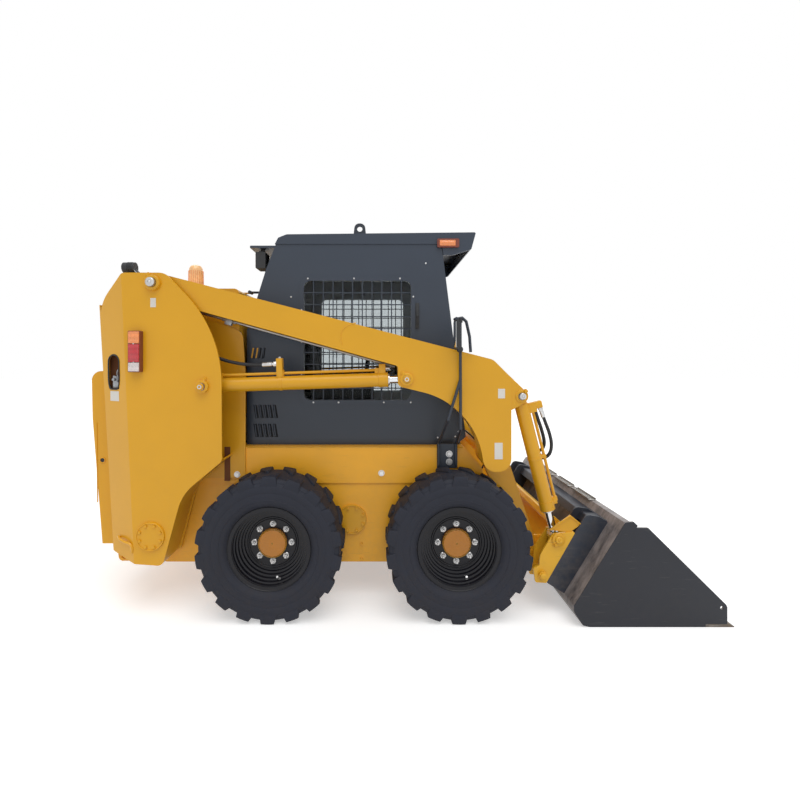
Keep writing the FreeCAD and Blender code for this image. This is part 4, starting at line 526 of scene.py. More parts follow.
def build_glass(name, tint, roughness=0.02):
    tree, shader = surface(name, Base_Color=(*tint, 1), Metallic=0.0, Roughness=roughness,
                           Transmission_Weight=1.0, IOR=1.1)
    smudge = noise(tree, object_place(tree), 9.0, 5.0, 0.7)
    uneven = reckon(tree, "MULTIPLY", smudge, 0.05)
    tree.links.new(reckon(tree, "ADD", uneven, roughness), shader.inputs["Roughness"])
    tree.links.new(bumped(tree, smudge, 0.02, 0.0005), shader.inputs["Normal"])


def build_lens(name, colour, ribs=220.0, glow=0.0):
    """A moulded lamp lens with fine level bands and small cells."""
    tree, shader = surface(name, Roughness=0.12, Coat_Weight=0.6, Coat_Roughness=0.05,
                           Subsurface_Weight=0.0, Emission_Strength=glow)
    place = object_place(tree)
    wave = tree.nodes.new("ShaderNodeTexWave")
    wave.inputs["Scale"].default_value = ribs / 20
    wave.bands_direction = "Z"
    tree.links.new(place, wave.inputs["Vector"])
    cells = tree.nodes.new("ShaderNodeTexVoronoi")
    cells.inputs["Scale"].default_value = ribs
    tree.links.new(place, cells.inputs["Vector"])
    tone = reckon(tree, "ADD", reckon(tree, "MULTIPLY", wave.outputs["Fac"], 0.5), cells.outputs["Distance"])
    mix = blended(tree, reckon(tree, "MULTIPLY", tone, 0.6, True), (*colour, 1), (*shaded(colour, 0.55), 1))
    tree.links.new(mix, shader.inputs["Base Color"])
    tree.links.new(mix, shader.inputs["Emission Color"])
    tree.links.new(bumped(tree, tone, 0.25, 0.001), shader.inputs["Normal"])


def build_cloth(name, colour):
    """Woven seat fabric with a slight sheen and paler worn patches."""
    tree, shader = surface(name, Roughness=0.85, Sheen_Weight=0.25, Sheen_Roughness=0.4)
    place = object_place(tree)
    weave = []
    for direction in ("X", "Y", "Z"):
        wave = tree.nodes.new("ShaderNodeTexWave")
        wave.bands_direction = direction
        wave.inputs["Scale"].default_value = 110.0
        wave.inputs["Distortion"].default_value = 0.6
        tree.links.new(place, wave.inputs["Vector"])
        weave.append(wave.outputs["Fac"])
    threads = reckon(tree, "MAXIMUM", reckon(tree, "MULTIPLY", weave[0], weave[1]), weave[2])
    patches = noise(tree, place, 7.0, 4.0)
    mix = blended(tree, threads, (*shaded(colour, 0.7), 1), (*shaded(colour, 1.35), 1))
    worn = reckon(tree, "MULTIPLY", spanned(tree, patches, 0.45, 0.8), 0.35)
    mix = blended(tree, worn, mix, (*shaded(colour, 2.2), 1))
    tree.links.new(mix, shader.inputs["Base Color"])
    tree.links.new(bumped(tree, threads, 0.35, 0.0008), shader.inputs["Normal"])


def build_mesh_screen(name, colour):
    """A woven wire screen, drawn as pale wires on a dark ground that is painted shade in the holes between
    them.
    """
    tree, shader = surface(name, Roughness=0.5, Metallic=0.4)
    place = object_place(tree)
    bars = []
    for direction in ("Y", "Z"):
        wave = tree.nodes.new("ShaderNodeTexWave")
        wave.bands_direction = direction
        wave.inputs["Scale"].default_value = 26.0
        tree.links.new(place, wave.inputs["Vector"])
        bars.append(spanned(tree, wave.outputs["Fac"], 0.45, 0.75))
    wires = reckon(tree, "MAXIMUM", bars[0], bars[1])
    # the ground between the wires is painted shade seen through the screen's holes
    mix = blended(tree, wires, (*shaded(colour, 0.2), 1), (*colour, 1))
    tree.links.new(mix, shader.inputs["Base Color"])
    tree.links.new(bumped(tree, wires, 0.8, 0.002), shader.inputs["Normal"])


# which finish each of the record's material slots gets, and the nodes that differ from their slot
SLOT_FINISH = {
    "yellow_paint": "Yellow Paint", "black_paint": "Cab Paint", "dark_paint": "Worn Edge Steel",
    "tyre": "Tyre Rubber", "steel": "Plated Steel", "chrome": "Chrome", "glass": "Window Glass",
    "seat_fabric": "Cushion Fabric", "plastic": "Moulded Plastic", "iron": "Cast Iron",
    "red_lens": "Lamp Housing", "amber_lens": "Amber Lens",
}
NODE_FINISH = {
    "bucket_shell": "Bucket Paint", "bucket_frame": "Bucket Frame Paint", "hull": "Hull Paint With Painted Light",
    "axle_housings": "Hull Paint With Painted Light", "tie_down_loops": "Hull Paint With Painted Light", "mirror_stands": "Tube Paint",
    "window_guards": "Cab Paint", "rear_grille": "Tube Paint", "hinges": "Tube Paint",
    "lifting_eyes": "Tube Paint", "tower_pins": "Plated Steel", "coupler": "Coupler Paint With Painted Light",
    "boom_pipes": "Plated Steel", "coupler_pins": "Coupler Paint With Painted Light", "marker_lamps": "Lamp Housing",
    "side_covers": "Yellow Paint",
}
for wheel_name in WHEELS:
    NODE_FINISH["rim_" + wheel_name] = "Rim Paint"
    NODE_FINISH["hub_" + wheel_name] = "Hub Paint"


# where the pale lining begins and is full along each axis, inside the cab
LINING = (("X", -0.69, -0.67), ("X", 0.23, 0.22), ("Z", 0.95, 0.96), ("Z", 2.000, 1.995))
LINING_Y = (0.453, 0.4515)


class LOADER_OT_finishes(bpy.types.Operator):
    """Builds the shared shader groups and every finish, and puts them on the frame's parts"""
    bl_idname = "loader.finishes"
    bl_label = "Finishes"

    def bucket_paint(self, paint):
        """Dark paint on the bucket's side plates, rubbed to a grey-brown film between them."""
        tree, shader = weathered("Bucket Paint", paint, 0.8, dust=0.02, dust_height=0.6, mottle=4.0,
                                 roughness=0.42, bump=0.2, scuffs=(0.25, 7.0, 0.66, srgb(96, 92, 90)))
        place = object_place(tree)
        split = tree.nodes.new("ShaderNodeSeparateXYZ")
        tree.links.new(place, split.inputs[0])
        across = reckon(tree, "ABSOLUTE", split.outputs["Y"])
        inside = spanned(tree, across, 0.8385, 0.8375)
        film = noise(tree, stretched(tree, place, (2.0, 6.0, 3.0), (0.2, 0.1, 0.4)), 3.0, 6.0, 0.7)
        film = reckon(tree, "MULTIPLY", spanned(tree, film, 0.2, 0.62), inside)
        marks = noise(tree, place, 17.0, 5.0, 0.8)
        film = reckon(tree, "MULTIPLY", film, spanned(tree, marks, 0.85, 0.6))
        painted = shader.inputs["Base Color"].links[0].from_socket
        tree.links.new(blended(tree, film, painted, (*srgb(150, 141, 138), 1)), shader.inputs["Base Color"])

    def cab_paint(self, paint):
        """Dark paint that is lighter up high and deepens towards the ground, as painted reflection and
        painted shade with a noise-wavered edge, and pale grey faces inside the cab.
        """
        tree, shader = weathered("Cab Paint", paint, 0.85, dust=0.05, dust_height=1.3, mottle=1.8,
                                 roughness=0.36, bump=0.1, depth=0.0008, grain=210.0)
        split = tree.nodes.new("ShaderNodeSeparateXYZ")
        tree.links.new(object_place(tree), split.inputs[0])
        # painted shade: below 1.35 m the paint blends to 0.62 of itself by 0.65 m, and noise shifts that
        # height to paint patches of reflection
        painted_reflection_drift = reckon(tree, "MULTIPLY", noise(tree, object_place(tree), 1.1, 2.0), 0.8)
        low = spanned(tree, reckon(tree, "SUBTRACT", split.outputs["Z"], painted_reflection_drift), 1.35, 0.65)
        painted = shader.inputs["Base Color"].links[0].from_socket
        painted = blended(tree, low, painted, (*shaded(paint, 0.62), 1))
        inside = spanned(tree, reckon(tree, "ABSOLUTE", split.outputs["Y"]), *LINING_Y)
        for axis, start, end in LINING:
            inside = reckon(tree, "MULTIPLY", inside, spanned(tree, split.outputs[axis], start, end))
        tree.links.new(blended(tree, inside, painted, (*srgb(158, 160, 162), 1)), shader.inputs["Base Color"])

    def mirror_glass(self):
        tree, shader = surface("Mirror Glass", Base_Color=(0.8, 0.82, 0.84, 1), Metallic=1.0, Roughness=0.04)
        smudge = noise(tree, object_place(tree), 14.0, 4.0)
        tree.links.new(reckon(tree, "MULTIPLY", smudge, 0.08), shader.inputs["Roughness"])

    def execute(self, context):
        colours = context.scene.loader_colours
        yellow, cab, bucket = (tuple(c) for c in (colours.yellow, colours.cab, colours.bucket))
        build_weathering()
        build_scuffs()
        paint = {"roughness": 0.36, "Coat_Weight": 0.12, "Coat_Roughness": 0.15, "Specular_IOR_Level": 0.4}
        weathered("Yellow Paint", yellow, 0.92, dust=0.08, dust_height=1.2, mottle=2.0, bump=0.05, **paint)
        # the hull's paint is a brighter, more orange copy of the yellow: painted light that offsets the shade
        # falling on the hull
        weathered("Hull Paint With Painted Light", srgb(255, 184, 44), 0.88, dust=0.2, dust_height=0.9, mottle=3.0, bump=0.06,
                  scuffs=(0.16, 9.0, 0.7, srgb(150, 104, 56)), **paint)
        # the coupler's paint is a brighter copy of the yellow: a painted highlight for its top-lit faces
        weathered("Coupler Paint With Painted Light", srgb(250, 190, 44), 0.8, dust=0.12, dust_height=0.8, mottle=5.0, bump=0.08,
                  scuffs=(0.35, 13.0, 0.66, srgb(110, 82, 52)), **paint)
        # the hub caps' paint is the yellow darkened to orange-brown: painted shade of their recess in the
        # wheel
        weathered("Hub Paint", srgb(192, 124, 40), 0.9, dust=0.15, mottle=9.0, **paint)
        self.cab_paint(cab)
        weathered("Tube Paint", shaded(cab, 0.7), 0.75, dust=0.2, mottle=6.0, roughness=0.45, grain=240.0)
        weathered("Rim Paint", srgb(14, 15, 24), 0.8, dust=0.02, dust_height=0.8, mottle=6.0, roughness=0.36,
                  Specular_IOR_Level=0.35)
        self.bucket_paint(bucket)
        weathered("Bucket Frame Paint", srgb(44, 51, 64), 0.7, dust=0.2, mottle=7.0, roughness=0.45,
                  scuffs=(0.2, 14.0, 0.68, srgb(104, 98, 92)))
        weathered("Worn Edge Steel", srgb(92, 88, 86), 0.6, dust=0.8, dust_height=0.5, mottle=9.0,
                  roughness=0.42, bump=0.3, scuffs=(0.8, 11.0, 0.55, srgb(150, 146, 142)), Metallic=0.6)
        weathered("Tyre Rubber", tuple(colours.rubber), 0.82, dust=0.05, dust_height=0.75, mottle=5.0,
                  roughness=0.72, spread=0.2, grain=320.0, bump=0.3, depth=0.001)
        weathered("Plated Steel", srgb(178, 176, 172), 0.8, dust=0.3, mottle=12.0, roughness=0.35, bump=0.1,
                  Metallic=0.85)
        weathered("Bright Zinc", srgb(214, 214, 214), 0.75, dust=0.15, mottle=20.0, roughness=0.28, bump=0.08,
                  Metallic=0.8)
        weathered("Chrome", srgb(222, 224, 226), 0.9, dust=0.05, mottle=14.0, roughness=0.1, spread=0.06,
                  bump=0.02, Metallic=1.0)
        weathered("Moulded Plastic", srgb(38, 41, 45), 0.85, dust=0.2, mottle=8.0, roughness=0.55,
                  grain=420.0, bump=0.3)
        weathered("Rubber Hose", srgb(30, 32, 36), 0.8, dust=0.2, mottle=12.0, roughness=0.6, grain=500.0,
                  bump=0.3)
        weathered("Cast Iron", srgb(72, 74, 78), 0.75, dust=0.5, mottle=9.0, roughness=0.65, grain=260.0,
                  bump=0.5, Metallic=0.3)
        weathered("Blank Plate", srgb(226, 222, 214), 0.94, dust=0.1, mottle=6.0, roughness=0.4)
        weathered("Galvanised", srgb(164, 168, 172), 0.75, dust=0.1, mottle=30.0, roughness=0.4, Metallic=0.7)
        weathered("Lamp Housing", srgb(132, 66, 50), 0.8, dust=0.1, mottle=10.0, roughness=0.4)
        build_glass("Window Glass", (0.6, 0.63, 0.64))
        self.mirror_glass()
        build_lens("Amber Lens", srgb(250, 150, 84), glow=0.2)
        build_lens("Red Lens", srgb(206, 40, 52), glow=0.12)
        build_lens("Clear Lens", srgb(236, 224, 222), ribs=160.0, glow=0.1)
        build_lens("Beacon Lens", srgb(250, 196, 132), ribs=60.0, glow=0.3)
        # yellow darkened for the hub caps' ring and dot, painted shade
        weathered("Hub Trim", shaded(yellow, 0.45), 0.8, dust=0.4, mottle=9.0, roughness=0.5)
        weathered("Beacon Base", srgb(232, 206, 170), 0.85, dust=0.2, mottle=9.0, roughness=0.4)
        weathered("Armrest Vinyl", srgb(34, 35, 38), 0.8, dust=0.1, mottle=20.0, roughness=0.5, grain=700.0,
                  bump=0.4)
        # near-black for slits painted as the shade inside the cab's openings
        weathered("Painted Opening Shade", srgb(12, 13, 16), 0.8, dust=0.0, mottle=9.0, roughness=0.9)
        # brown for sheets painted as the shade inside the towers' slots and in the gap beside the hull
        weathered("Brown Painted Shade", srgb(118, 72, 40), 0.8, dust=0.1, mottle=9.0, roughness=0.8)
        build_mesh_screen("Wire Screen", srgb(60, 62, 66))
        build_cloth("Cushion Fabric", tuple(colours.seat))
        for name, node in NODES.items():
            for slot in node.material_slots:
                own = slot.material.name.split(".")[0]
                slot.material = bpy.data.materials[NODE_FINISH.get(name, SLOT_FINISH[own])]
        return {"FINISHED"}


# ---------------------------------------------------------------- stage
class LOADER_OT_stage(bpy.types.Operator):
    """Sets the floor, the soft lights and the camera"""
    bl_idname = "loader.stage"
    bl_label = "Stage"

    def execute(self, context):
        scene = context.scene
        scene.view_settings.view_transform = "Standard"
        self.floor()
        self.lights(scene)
        self.camera(scene)
        return {"FINISHED"}

    def seen(self, tree):
        """1 for what the camera, a gloss or a glass sees directly."""
        rays = tree.nodes.new("ShaderNodeLightPath").outputs
        first = reckon(tree, "MAXIMUM", rays["Is Camera Ray"], rays["Is Glossy Ray"])
        return reckon(tree, "MAXIMUM", first, rays["Is Transmission Ray"])

    def floor(self):
        deselect()
        bpy.ops.mesh.primitive_plane_add(size=60.0, location=(0, 0, -0.001))
        piece = settled("studio_floor")
        tree, shader = surface("Studio Floor", Base_Color=(0.8, 0.8, 0.8, 1), Roughness=0.9,
                               Emission_Color=(1, 1, 1, 1))
        place = object_place(tree)
        fine = noise(tree, place, 40.0, 4.0)
        tree.links.new(blended(tree, fine, (0.79, 0.79, 0.79, 1), (0.81, 0.81, 0.81, 1)),
                       shader.inputs["Base Color"])
        glow = tree.nodes.new("ShaderNodeEmission")
        tree.links.new(reckon(tree, "MULTIPLY", self.seen(tree), 0.42), glow.inputs["Strength"])
        add = tree.nodes.new("ShaderNodeAddShader")
        out = next(node for node in tree.nodes if node.type == "OUTPUT_MATERIAL")
        tree.links.new(shader.outputs[0], add.inputs[0])
        tree.links.new(glow.outputs[0], add.inputs[1])
        tree.links.new(add.outputs[0], out.inputs["Surface"])
        piece.data.materials.append(bpy.data.materials["Studio Floor"])

    def lights(self, scene):
        scene.world = scene.world or bpy.data.worlds.new("Studio")
        scene.world.use_nodes = True
        tree = scene.world.node_tree
        sky = next(node for node in tree.nodes if node.type == "BACKGROUND")
        sky.inputs["Color"].default_value = (1, 1, 1, 1)
        strength = blended(tree, self.seen(tree), (0.6, 0.6, 0.6, 1), (1, 1, 1, 1))
        tree.links.new(strength, sky.inputs["Strength"])
        suns = (("key", 1.25, 50.0, (24, 6, 0)), ("fill", 0.35, 80.0, (60, 0, 180)))
        for name, power, spread_angle, turn in suns:
            deselect()
            bpy.ops.object.light_add(type="SUN", rotation=[radians(a) for a in turn])
            lamp = named(name)
            lamp.data.energy = power
            lamp.data.angle = radians(spread_angle)

    def camera(self, scene):
        deselect()
        bpy.ops.object.camera_add(location=(-0.095, -3.325, 1.383), rotation=(radians(90), 0, 0))
        camera = named("camera")
        camera.data.sensor_width = 36.0
        camera.data.lens = 21.6
        camera.data.shift_x = 0.0275
        camera.data.shift_y = -0.05
        scene.camera = camera


# ---------------------------------------------------------------- wheels
def node_box(name):
    low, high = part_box(name)
    return Vector(low), Vector(high)


def wheel_frames():
    """Each wheel's name and the matrix from a wheel about the origin, outer face at +Y."""
    for wheel in WHEELS:
        low, high = node_box("tyre_" + wheel)
        place = shift((low + high) / 2)
        yield wheel, place @ MIRROR if wheel.endswith("right") else place


class LOADER_OT_tyres(bpy.types.Operator):
    """Adds the four lugged tyres"""
    bl_idname = "loader.tyres"
    bl_label = "Tyres"

    def carcass(self):
        """The tyre's body, from its half section and that section's mirror image."""
        side = [(0.2083, 0.0945), (0.217, 0.0962), (0.226, 0.106), (0.233, 0.116), (0.244, 0.1235),
                (0.258, 0.128), (0.274, 0.13), (0.296, 0.1302), (0.2995, 0.129), (0.302, 0.1304),
                (0.336, 0.1296), (0.339, 0.1276), (0.349, 0.1248), (0.3515, 0.1222), (0.3545, 0.1226),
                (0.3625, 0.119), (0.3715, 0.109), (0.3745, 0.075), (0.3755, 0.03)]
        profile = side + [(radius, -station) for radius, station in reversed(side)]
        return turned("carcass", profile, axis=ACROSS, steps=96, ring=True)

    def lug(self, width):
        """One bar, drawn flat at the tread and rounded to it, that leans forward towards the middle."""
        half = width / 2
        root, middle, crown = 0.336, 0.37, 0.3866        # heights of the lug above the axle
        shoulder, rounded_shoulder = 0.1298, 0.1262      # its outer end at the root and at the crown
        outline = [(-half, shoulder), (-half + 0.004, 0.092), (0.016, 0.022), (0.03, 0.006), (0.052, 0.004),
                   (0.058, 0.02), (half + 0.004, 0.08), (half, shoulder),
                   (half / 3, shoulder), (-half / 3, shoulder)]
        piece = plate("lug", [(along, across, root) for along, across in outline], (0, 0, 0.0505))
        pick(piece, lambda face: face.calc_center_median().z > middle)
        bpy.ops.transform.resize(value=(0.66, 0.95, 1.0), center_override=(0.014, 0.062, 0.3865))
        object_mode()
        for vertex in piece.data.vertices:
            if vertex.co.z > middle and vertex.co.y > 0.1:
                vertex.co.y = rounded_shoulder
            if vertex.co.z > middle:
                vertex.co.z = crown
            bend = vertex.co.x / 0.387
            vertex.co.x, vertex.co.z = vertex.co.z * sin(bend), vertex.co.z * cos(bend)
        return bevelled(piece, 0.0035, 2)

    def bead(self, radius, station, thickness):
        """A thin moulded line round the sidewall."""
        return turned("line", [(radius - thickness, station), (radius, station + thickness * 0.7),
                               (radius + thickness, station)], axis=ACROSS, steps=96, ring=True)

    def execute(self, context):
        sizes = context.scene.loader_sizes
        pitch = 2 * pi / sizes.lugs
        lug = self.lug(sizes.lug_width)
        outer = [Matrix.Rotation(pitch * number, 4, ACROSS) for number in range(sizes.lugs)]
        inner = [Matrix.Rotation(pitch * (number + 0.5), 4, ACROSS) @ MIRROR for number in range(sizes.lugs)]
        parts = [self.carcass(), spread("lugs", lug, outer + inner)]
        parts += [self.bead(radius, 0.1288, 0.0024) for radius in (0.262, 0.284)]
        tyre = joined("tyre", parts)
        for wheel, place in wheel_frames():
            piece = placed(tyre, "tyre_tread_" + wheel, place)
            finished(piece, "wheel_" + wheel, "Tyre Rubber")
            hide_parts("tyre_" + wheel)
        bpy.data.objects.remove(tyre)
        return {"FINISHED"}


class LOADER_OT_wheel_fittings(bpy.types.Operator):
    """Adds the wheel nuts on their studs, the valve stems, the rims' rings and steps, and each hub cap's dark
    ring and dot of painted shade
    """
    bl_idname = "loader.wheel_fittings"
    bl_label = "Wheel Fittings"

    def execute(self, context):
        sizes = context.scene.loader_sizes
        disc = 0.004                     # the rim disc's outer face, outboard of the tyre's middle
        nut = joined("nut", [
            turned("cone", [(0, 0), (0.0185, 0), (0.0185, 0.004), (0.015, 0.007), (0, 0.007)], steps=20),
            rod("hexagon", (0, 0, 0.006), (0, 0, 0.022), sizes.nut_size / 2 / cos(pi / 6), 6, 0.002),
            turned("stud", [(0, 0.02), (0.0068, 0.02), (0.0068, 0.03), (0.0052, 0.032), (0, 0.032)],
                   steps=16)])
        places = []
        count = 8
        for number in range(count):
            angle = 2 * pi * number / count
            spot = (sizes.nut_circle * sin(angle), disc, sizes.nut_circle * cos(angle))
            places.append(facing(spot, ACROSS, angle))
        nuts = spread("nuts", nut, places)
        valve_angle = radians(-75)
        out = Vector((cos(valve_angle), 0, sin(valve_angle)))
        base = out * 0.184 + ACROSS * 0.056
        lean = ACROSS * 0.8 - out * 0.6
        stem = [turned("stem", [(0, 0), (0.0075, 0), (0.0075, 0.012), (0.004, 0.016), (0.004, 0.036),
                                (0, 0.036)], base, lean, 16),
                turned("cap", [(0, 0.03), (0.0056, 0.03), (0.006, 0.036), (0.0056, 0.047), (0, 0.048)],
                       base, lean, 16)]
        bright = joined("bright", [nuts, *stem])
        rings = joined("rings", [
            turned("ring", [(radius - 0.003, station - 0.001), (radius, station + 0.0022),
                            (radius + 0.003, station - 0.001)], axis=ACROSS, steps=72, ring=True)
            for radius, station in ((0.128, disc), (0.138, disc), (0.2205, 0.1042))] + [
            turned("steps", [(0.144, 0.003), (0.152, 0.005), (0.1545, 0.017), (0.164, 0.02),
                             (0.1665, 0.034), (0.176, 0.037), (0.1785, 0.053), (0.187, 0.056),
                             (0.189, 0.076), (0.195, 0.079), (0.1965, 0.099), (0.199, 0.1),
                             (0.199, 0.07), (0.19, 0.03), (0.17, 0.003)],
                   axis=ACROSS, steps=96, ring=True)])
        # a dark ring round each hub cap and a dark dot in its middle: painted shade of the gap round the cap
        # and of a hole at its centre
        hub = joined("hub", [
            turned("rim", [(0.0735, 0.0285), (0.076, 0.0302), (0.0778, 0.0285)], axis=ACROSS, steps=64,
                   ring=True),
            turned("plug", [(0, 0.029), (0.0035, 0.03), (0.0052, 0.029), (0.0052, 0.028), (0, 0.028)],
                   axis=ACROSS, steps=16)])
        for wheel, place in wheel_frames():
            body = "wheel_" + wheel
            finished(placed(bright, "wheel_nuts_" + wheel, place), body, "Bright Zinc")
            finished(placed(rings, "rim_rings_" + wheel, place), body, "Rim Paint")
            finished(placed(hub, "hub_trim_" + wheel, place), body, "Hub Trim")
        for template in (bright, rings, hub):
            bpy.data.objects.remove(template)
        return {"FINISHED"}


# ---------------------------------------------------------------- lamps and mirrors
class LOADER_OT_lamps(bpy.types.Operator):
    """Adds the lamps' lenses, bezels and brackets, and the beacon"""
    bl_idname = "loader.lamps"
    bl_label = "Lamps"

    def lens(self, name, low, high, axis):
        """A lamp lens with a groove round its raised face."""
        piece = box(name, low, high, 0.003)
        pick(piece, lambda face: face.normal.dot(Vector(axis)) > 0.99)
        bpy.ops.mesh.inset(thickness=0.005)
        bpy.ops.transform.translate(value=Vector(axis) * -0.0015)
        bpy.ops.mesh.inset(thickness=0.004)
        bpy.ops.transform.translate(value=Vector(axis) * 0.0025)
        object_mode()
        return piece

    def tail_lenses(self):
        low, high = node_box("tail_lamps")
        face = -high.y                   # the right lamp's outer face
        edge = 0.004
        for name, bottom, top, slot, finish in (
                ("turn_lens", 1.471, high.z - edge, "amber_lens", "Amber Lens"),
                ("brake_lens", 1.372, 1.468, "red_lens", "Red Lens"),
                ("reverse_lens", low.z + edge, 1.369, "glass", "Clear Lens")):
            piece = self.lens(name, (low.x + edge, face - 0.007, bottom), (high.x - edge, face + 0.002, top),
                              RIGHT)
            paired(name + "es", piece, "machine", finish)
        screw = pan_head(0.004, 0.003)
        screws = spread("tail_lamp_screws", screw,
                        [facing(((low.x + high.x) / 2, face - 0.0055, z), RIGHT) for z in (1.4695, 1.3705)])
        paired("tail_lamp_screws", screws, "machine", "Bright Zinc")

    def beacon(self):
        low, high = node_box("beacon")
        middle = (low + high) / 2
        base = Vector((middle.x, middle.y, low.z))
        foot = turned("beacon_foot", [(0, 0), (0.052, 0), (0.053, 0.01), (0.05, 0.022), (0.0465, 0.026),
                                      (0.0465, 0.034), (0.05, 0.036), (0.05, 0.042), (0, 0.042)], base)
        finished(foot, "engine_hood", "Beacon Base")
        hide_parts("beacon")
        height = high.z - low.z
        dome = turned("beacon_dome", [(0, 0.041), (0.0445, 0.041), (0.0455, 0.05), (0.045, height - 0.05),
                                      (0.042, height - 0.026), (0.033, height - 0.009),
                                      (0.017, height - 0.001), (0, height)], base, steps=48)
        finished(dome, "engine_hood", "Beacon Lens")
        ribs = [rod("rib", base + Vector((0.0456 * cos(a), 0.0456 * sin(a), 0.05)),
                    base + Vector((0.0445 * cos(a), 0.0445 * sin(a), height - 0.04)), 0.0016, 8)
                for a in [number * pi / 12 for number in range(24)]]
        finished(joined("beacon_ribs", ribs), "engine_hood", "Amber Lens")

    def marker_lenses(self):
        low, high = node_box("marker_lamps")
        piece = self.lens("marker_lenses", (low.x + 0.014, low.y - 0.004, low.z + 0.009),
                          (high.x - 0.022, low.y + 0.002, high.z - 0.009), RIGHT)
        paired("marker_lenses", piece, "machine", "Amber Lens")

    def work_lamps(self):
        """The round lamps at the cab's front and the square ones at its back."""
        low = node_box("work_lamps")[0]
        middle = Vector((low.x, low.y + 0.03, 1.898))
        square_low, square_high = Vector((-0.826, -0.445, 1.934)), Vector((-0.771, -0.335, 2.032))
        bezel = turned("bezel", [(0.0295, 0.002), (0.0295, -0.004), (0.0265, -0.006), (0.0245, -0.003),
                                 (0.0245, 0.002)], middle, FORWARD, 40, ring=True)
        fins = [turned("fin", [(0.018, station), (0.0315, station), (0.0315, station + 0.003),
                               (0.018, station + 0.003)], middle, FORWARD, 32, ring=True)
                for station in [0.022 + 0.006 * number for number in range(5)]]
        rim = box("rim", (square_low.x - 0.005, square_low.y + 0.001, square_low.z + 0.001),
                  (square_low.x + 0.002, square_high.y - 0.001, square_high.z - 0.001), 0.004)
        ribs = [box("rib", (square_low.x + 0.014, y, square_high.z - 0.002),
                    (square_high.x - 0.014, y + 0.003, square_high.z + 0.008), 0.001, 1)
                for y in [square_low.y + 0.012 + 0.0122 * number for number in range(8)]]
        trim = joined("work_lamp_trim", [bezel, *fins, rim, *ribs])
        paired("work_lamp_trim", trim, "machine", "Moulded Plastic")
        glass = turned("glass", [(0, -0.0045), (0.012, -0.004), (0.0245, -0.0015), (0.0245, 0.001),
                                 (0, 0.001)], middle, FORWARD, 32)
        pane = self.lens("pane", (square_low.x - 0.008, square_low.y + 0.009, square_low.z + 0.009),
                         (square_low.x - 0.003, square_high.y - 0.009, square_high.z - 0.009), (-1, 0, 0))
        paired("work_lamp_lenses", joined("lenses", [glass, pane]), "machine", "Clear Lens")

    def lamp_brackets(self):
        """A bent strap from each round lamp to a bolt behind it."""
        x = node_box("work_lamps")[0].x + 0.031
        foot = 1.854
        under, over = foot + 0.006, foot + 0.0095
        strap = side_plate("strap", [(x + 0.008, 1.9), (x + 0.05, under), (x + 0.092, under),
                                     (x + 0.092, over), (x + 0.052, over), (x + 0.012, 1.905)],
                           -0.664, -0.62, 0.001, 1)
        fixing = spread("fixing", bolt_head(0.013, 0.007), [facing((x + 0.08, -0.642, foot + 0.009), UP)])
        paired("lamp_brackets", joined("brackets", [strap, fixing]), "machine", "Galvanised")

    def execute(self, context):
        self.tail_lenses()
        self.beacon()
        self.marker_lenses()
        self.work_lamps()
        self.lamp_brackets()
        return {"FINISHED"}


class LOADER_OT_mirrors(bpy.types.Operator):
    """Adds the mirrors' glass and backs, and the knobs, collars and foot bolts of their stands"""
    bl_idname = "loader.mirrors"
    bl_label = "Mirrors"

    def execute(self, context):
        low, high = node_box("mirror_heads")
        inner = low.y + 0.1
        glass = box("glass", (low.x - 0.002, low.y + 0.008, low.z + 0.009),
                    (low.x + 0.004, inner - 0.008, high.z - 0.009), 0.0015)
        paired("mirror_glass", glass, "machine", "Mirror Glass")
        back = box("back", (high.x - 0.003, low.y + 0.014, low.z + 0.014),
                   (high.x + 0.007, inner - 0.014, high.z - 0.014), 0.005, 3)
        bar_y = -0.735
        knob = turned("knob", [(0, 0), (0.015, 0), (0.017, 0.004), (0.017, 0.02), (0.012, 0.026), (0, 0.027)],
                      (0.344, bar_y - 0.002, 1.44), RIGHT, 20)
        collar = turned("collar", [(0.0082, -0.012), (0.013, -0.012), (0.013, 0.012), (0.0082, 0.012)],
                        (0.3485, bar_y, 1.597), UP, 20, ring=True)
        paired("mirror_trim", joined("trim", [back, knob, collar]), "machine", "Moulded Plastic")
        heads = [facing((0.318, -0.538, z), RIGHT, z * 9) for z in (0.792, 0.838)]
        paired("mirror_stand_bolts", spread("bolts", bolt_head(0.026, 0.014, 1.5), heads), "machine",
                 "Bright Zinc")
        return {"FINISHED"}


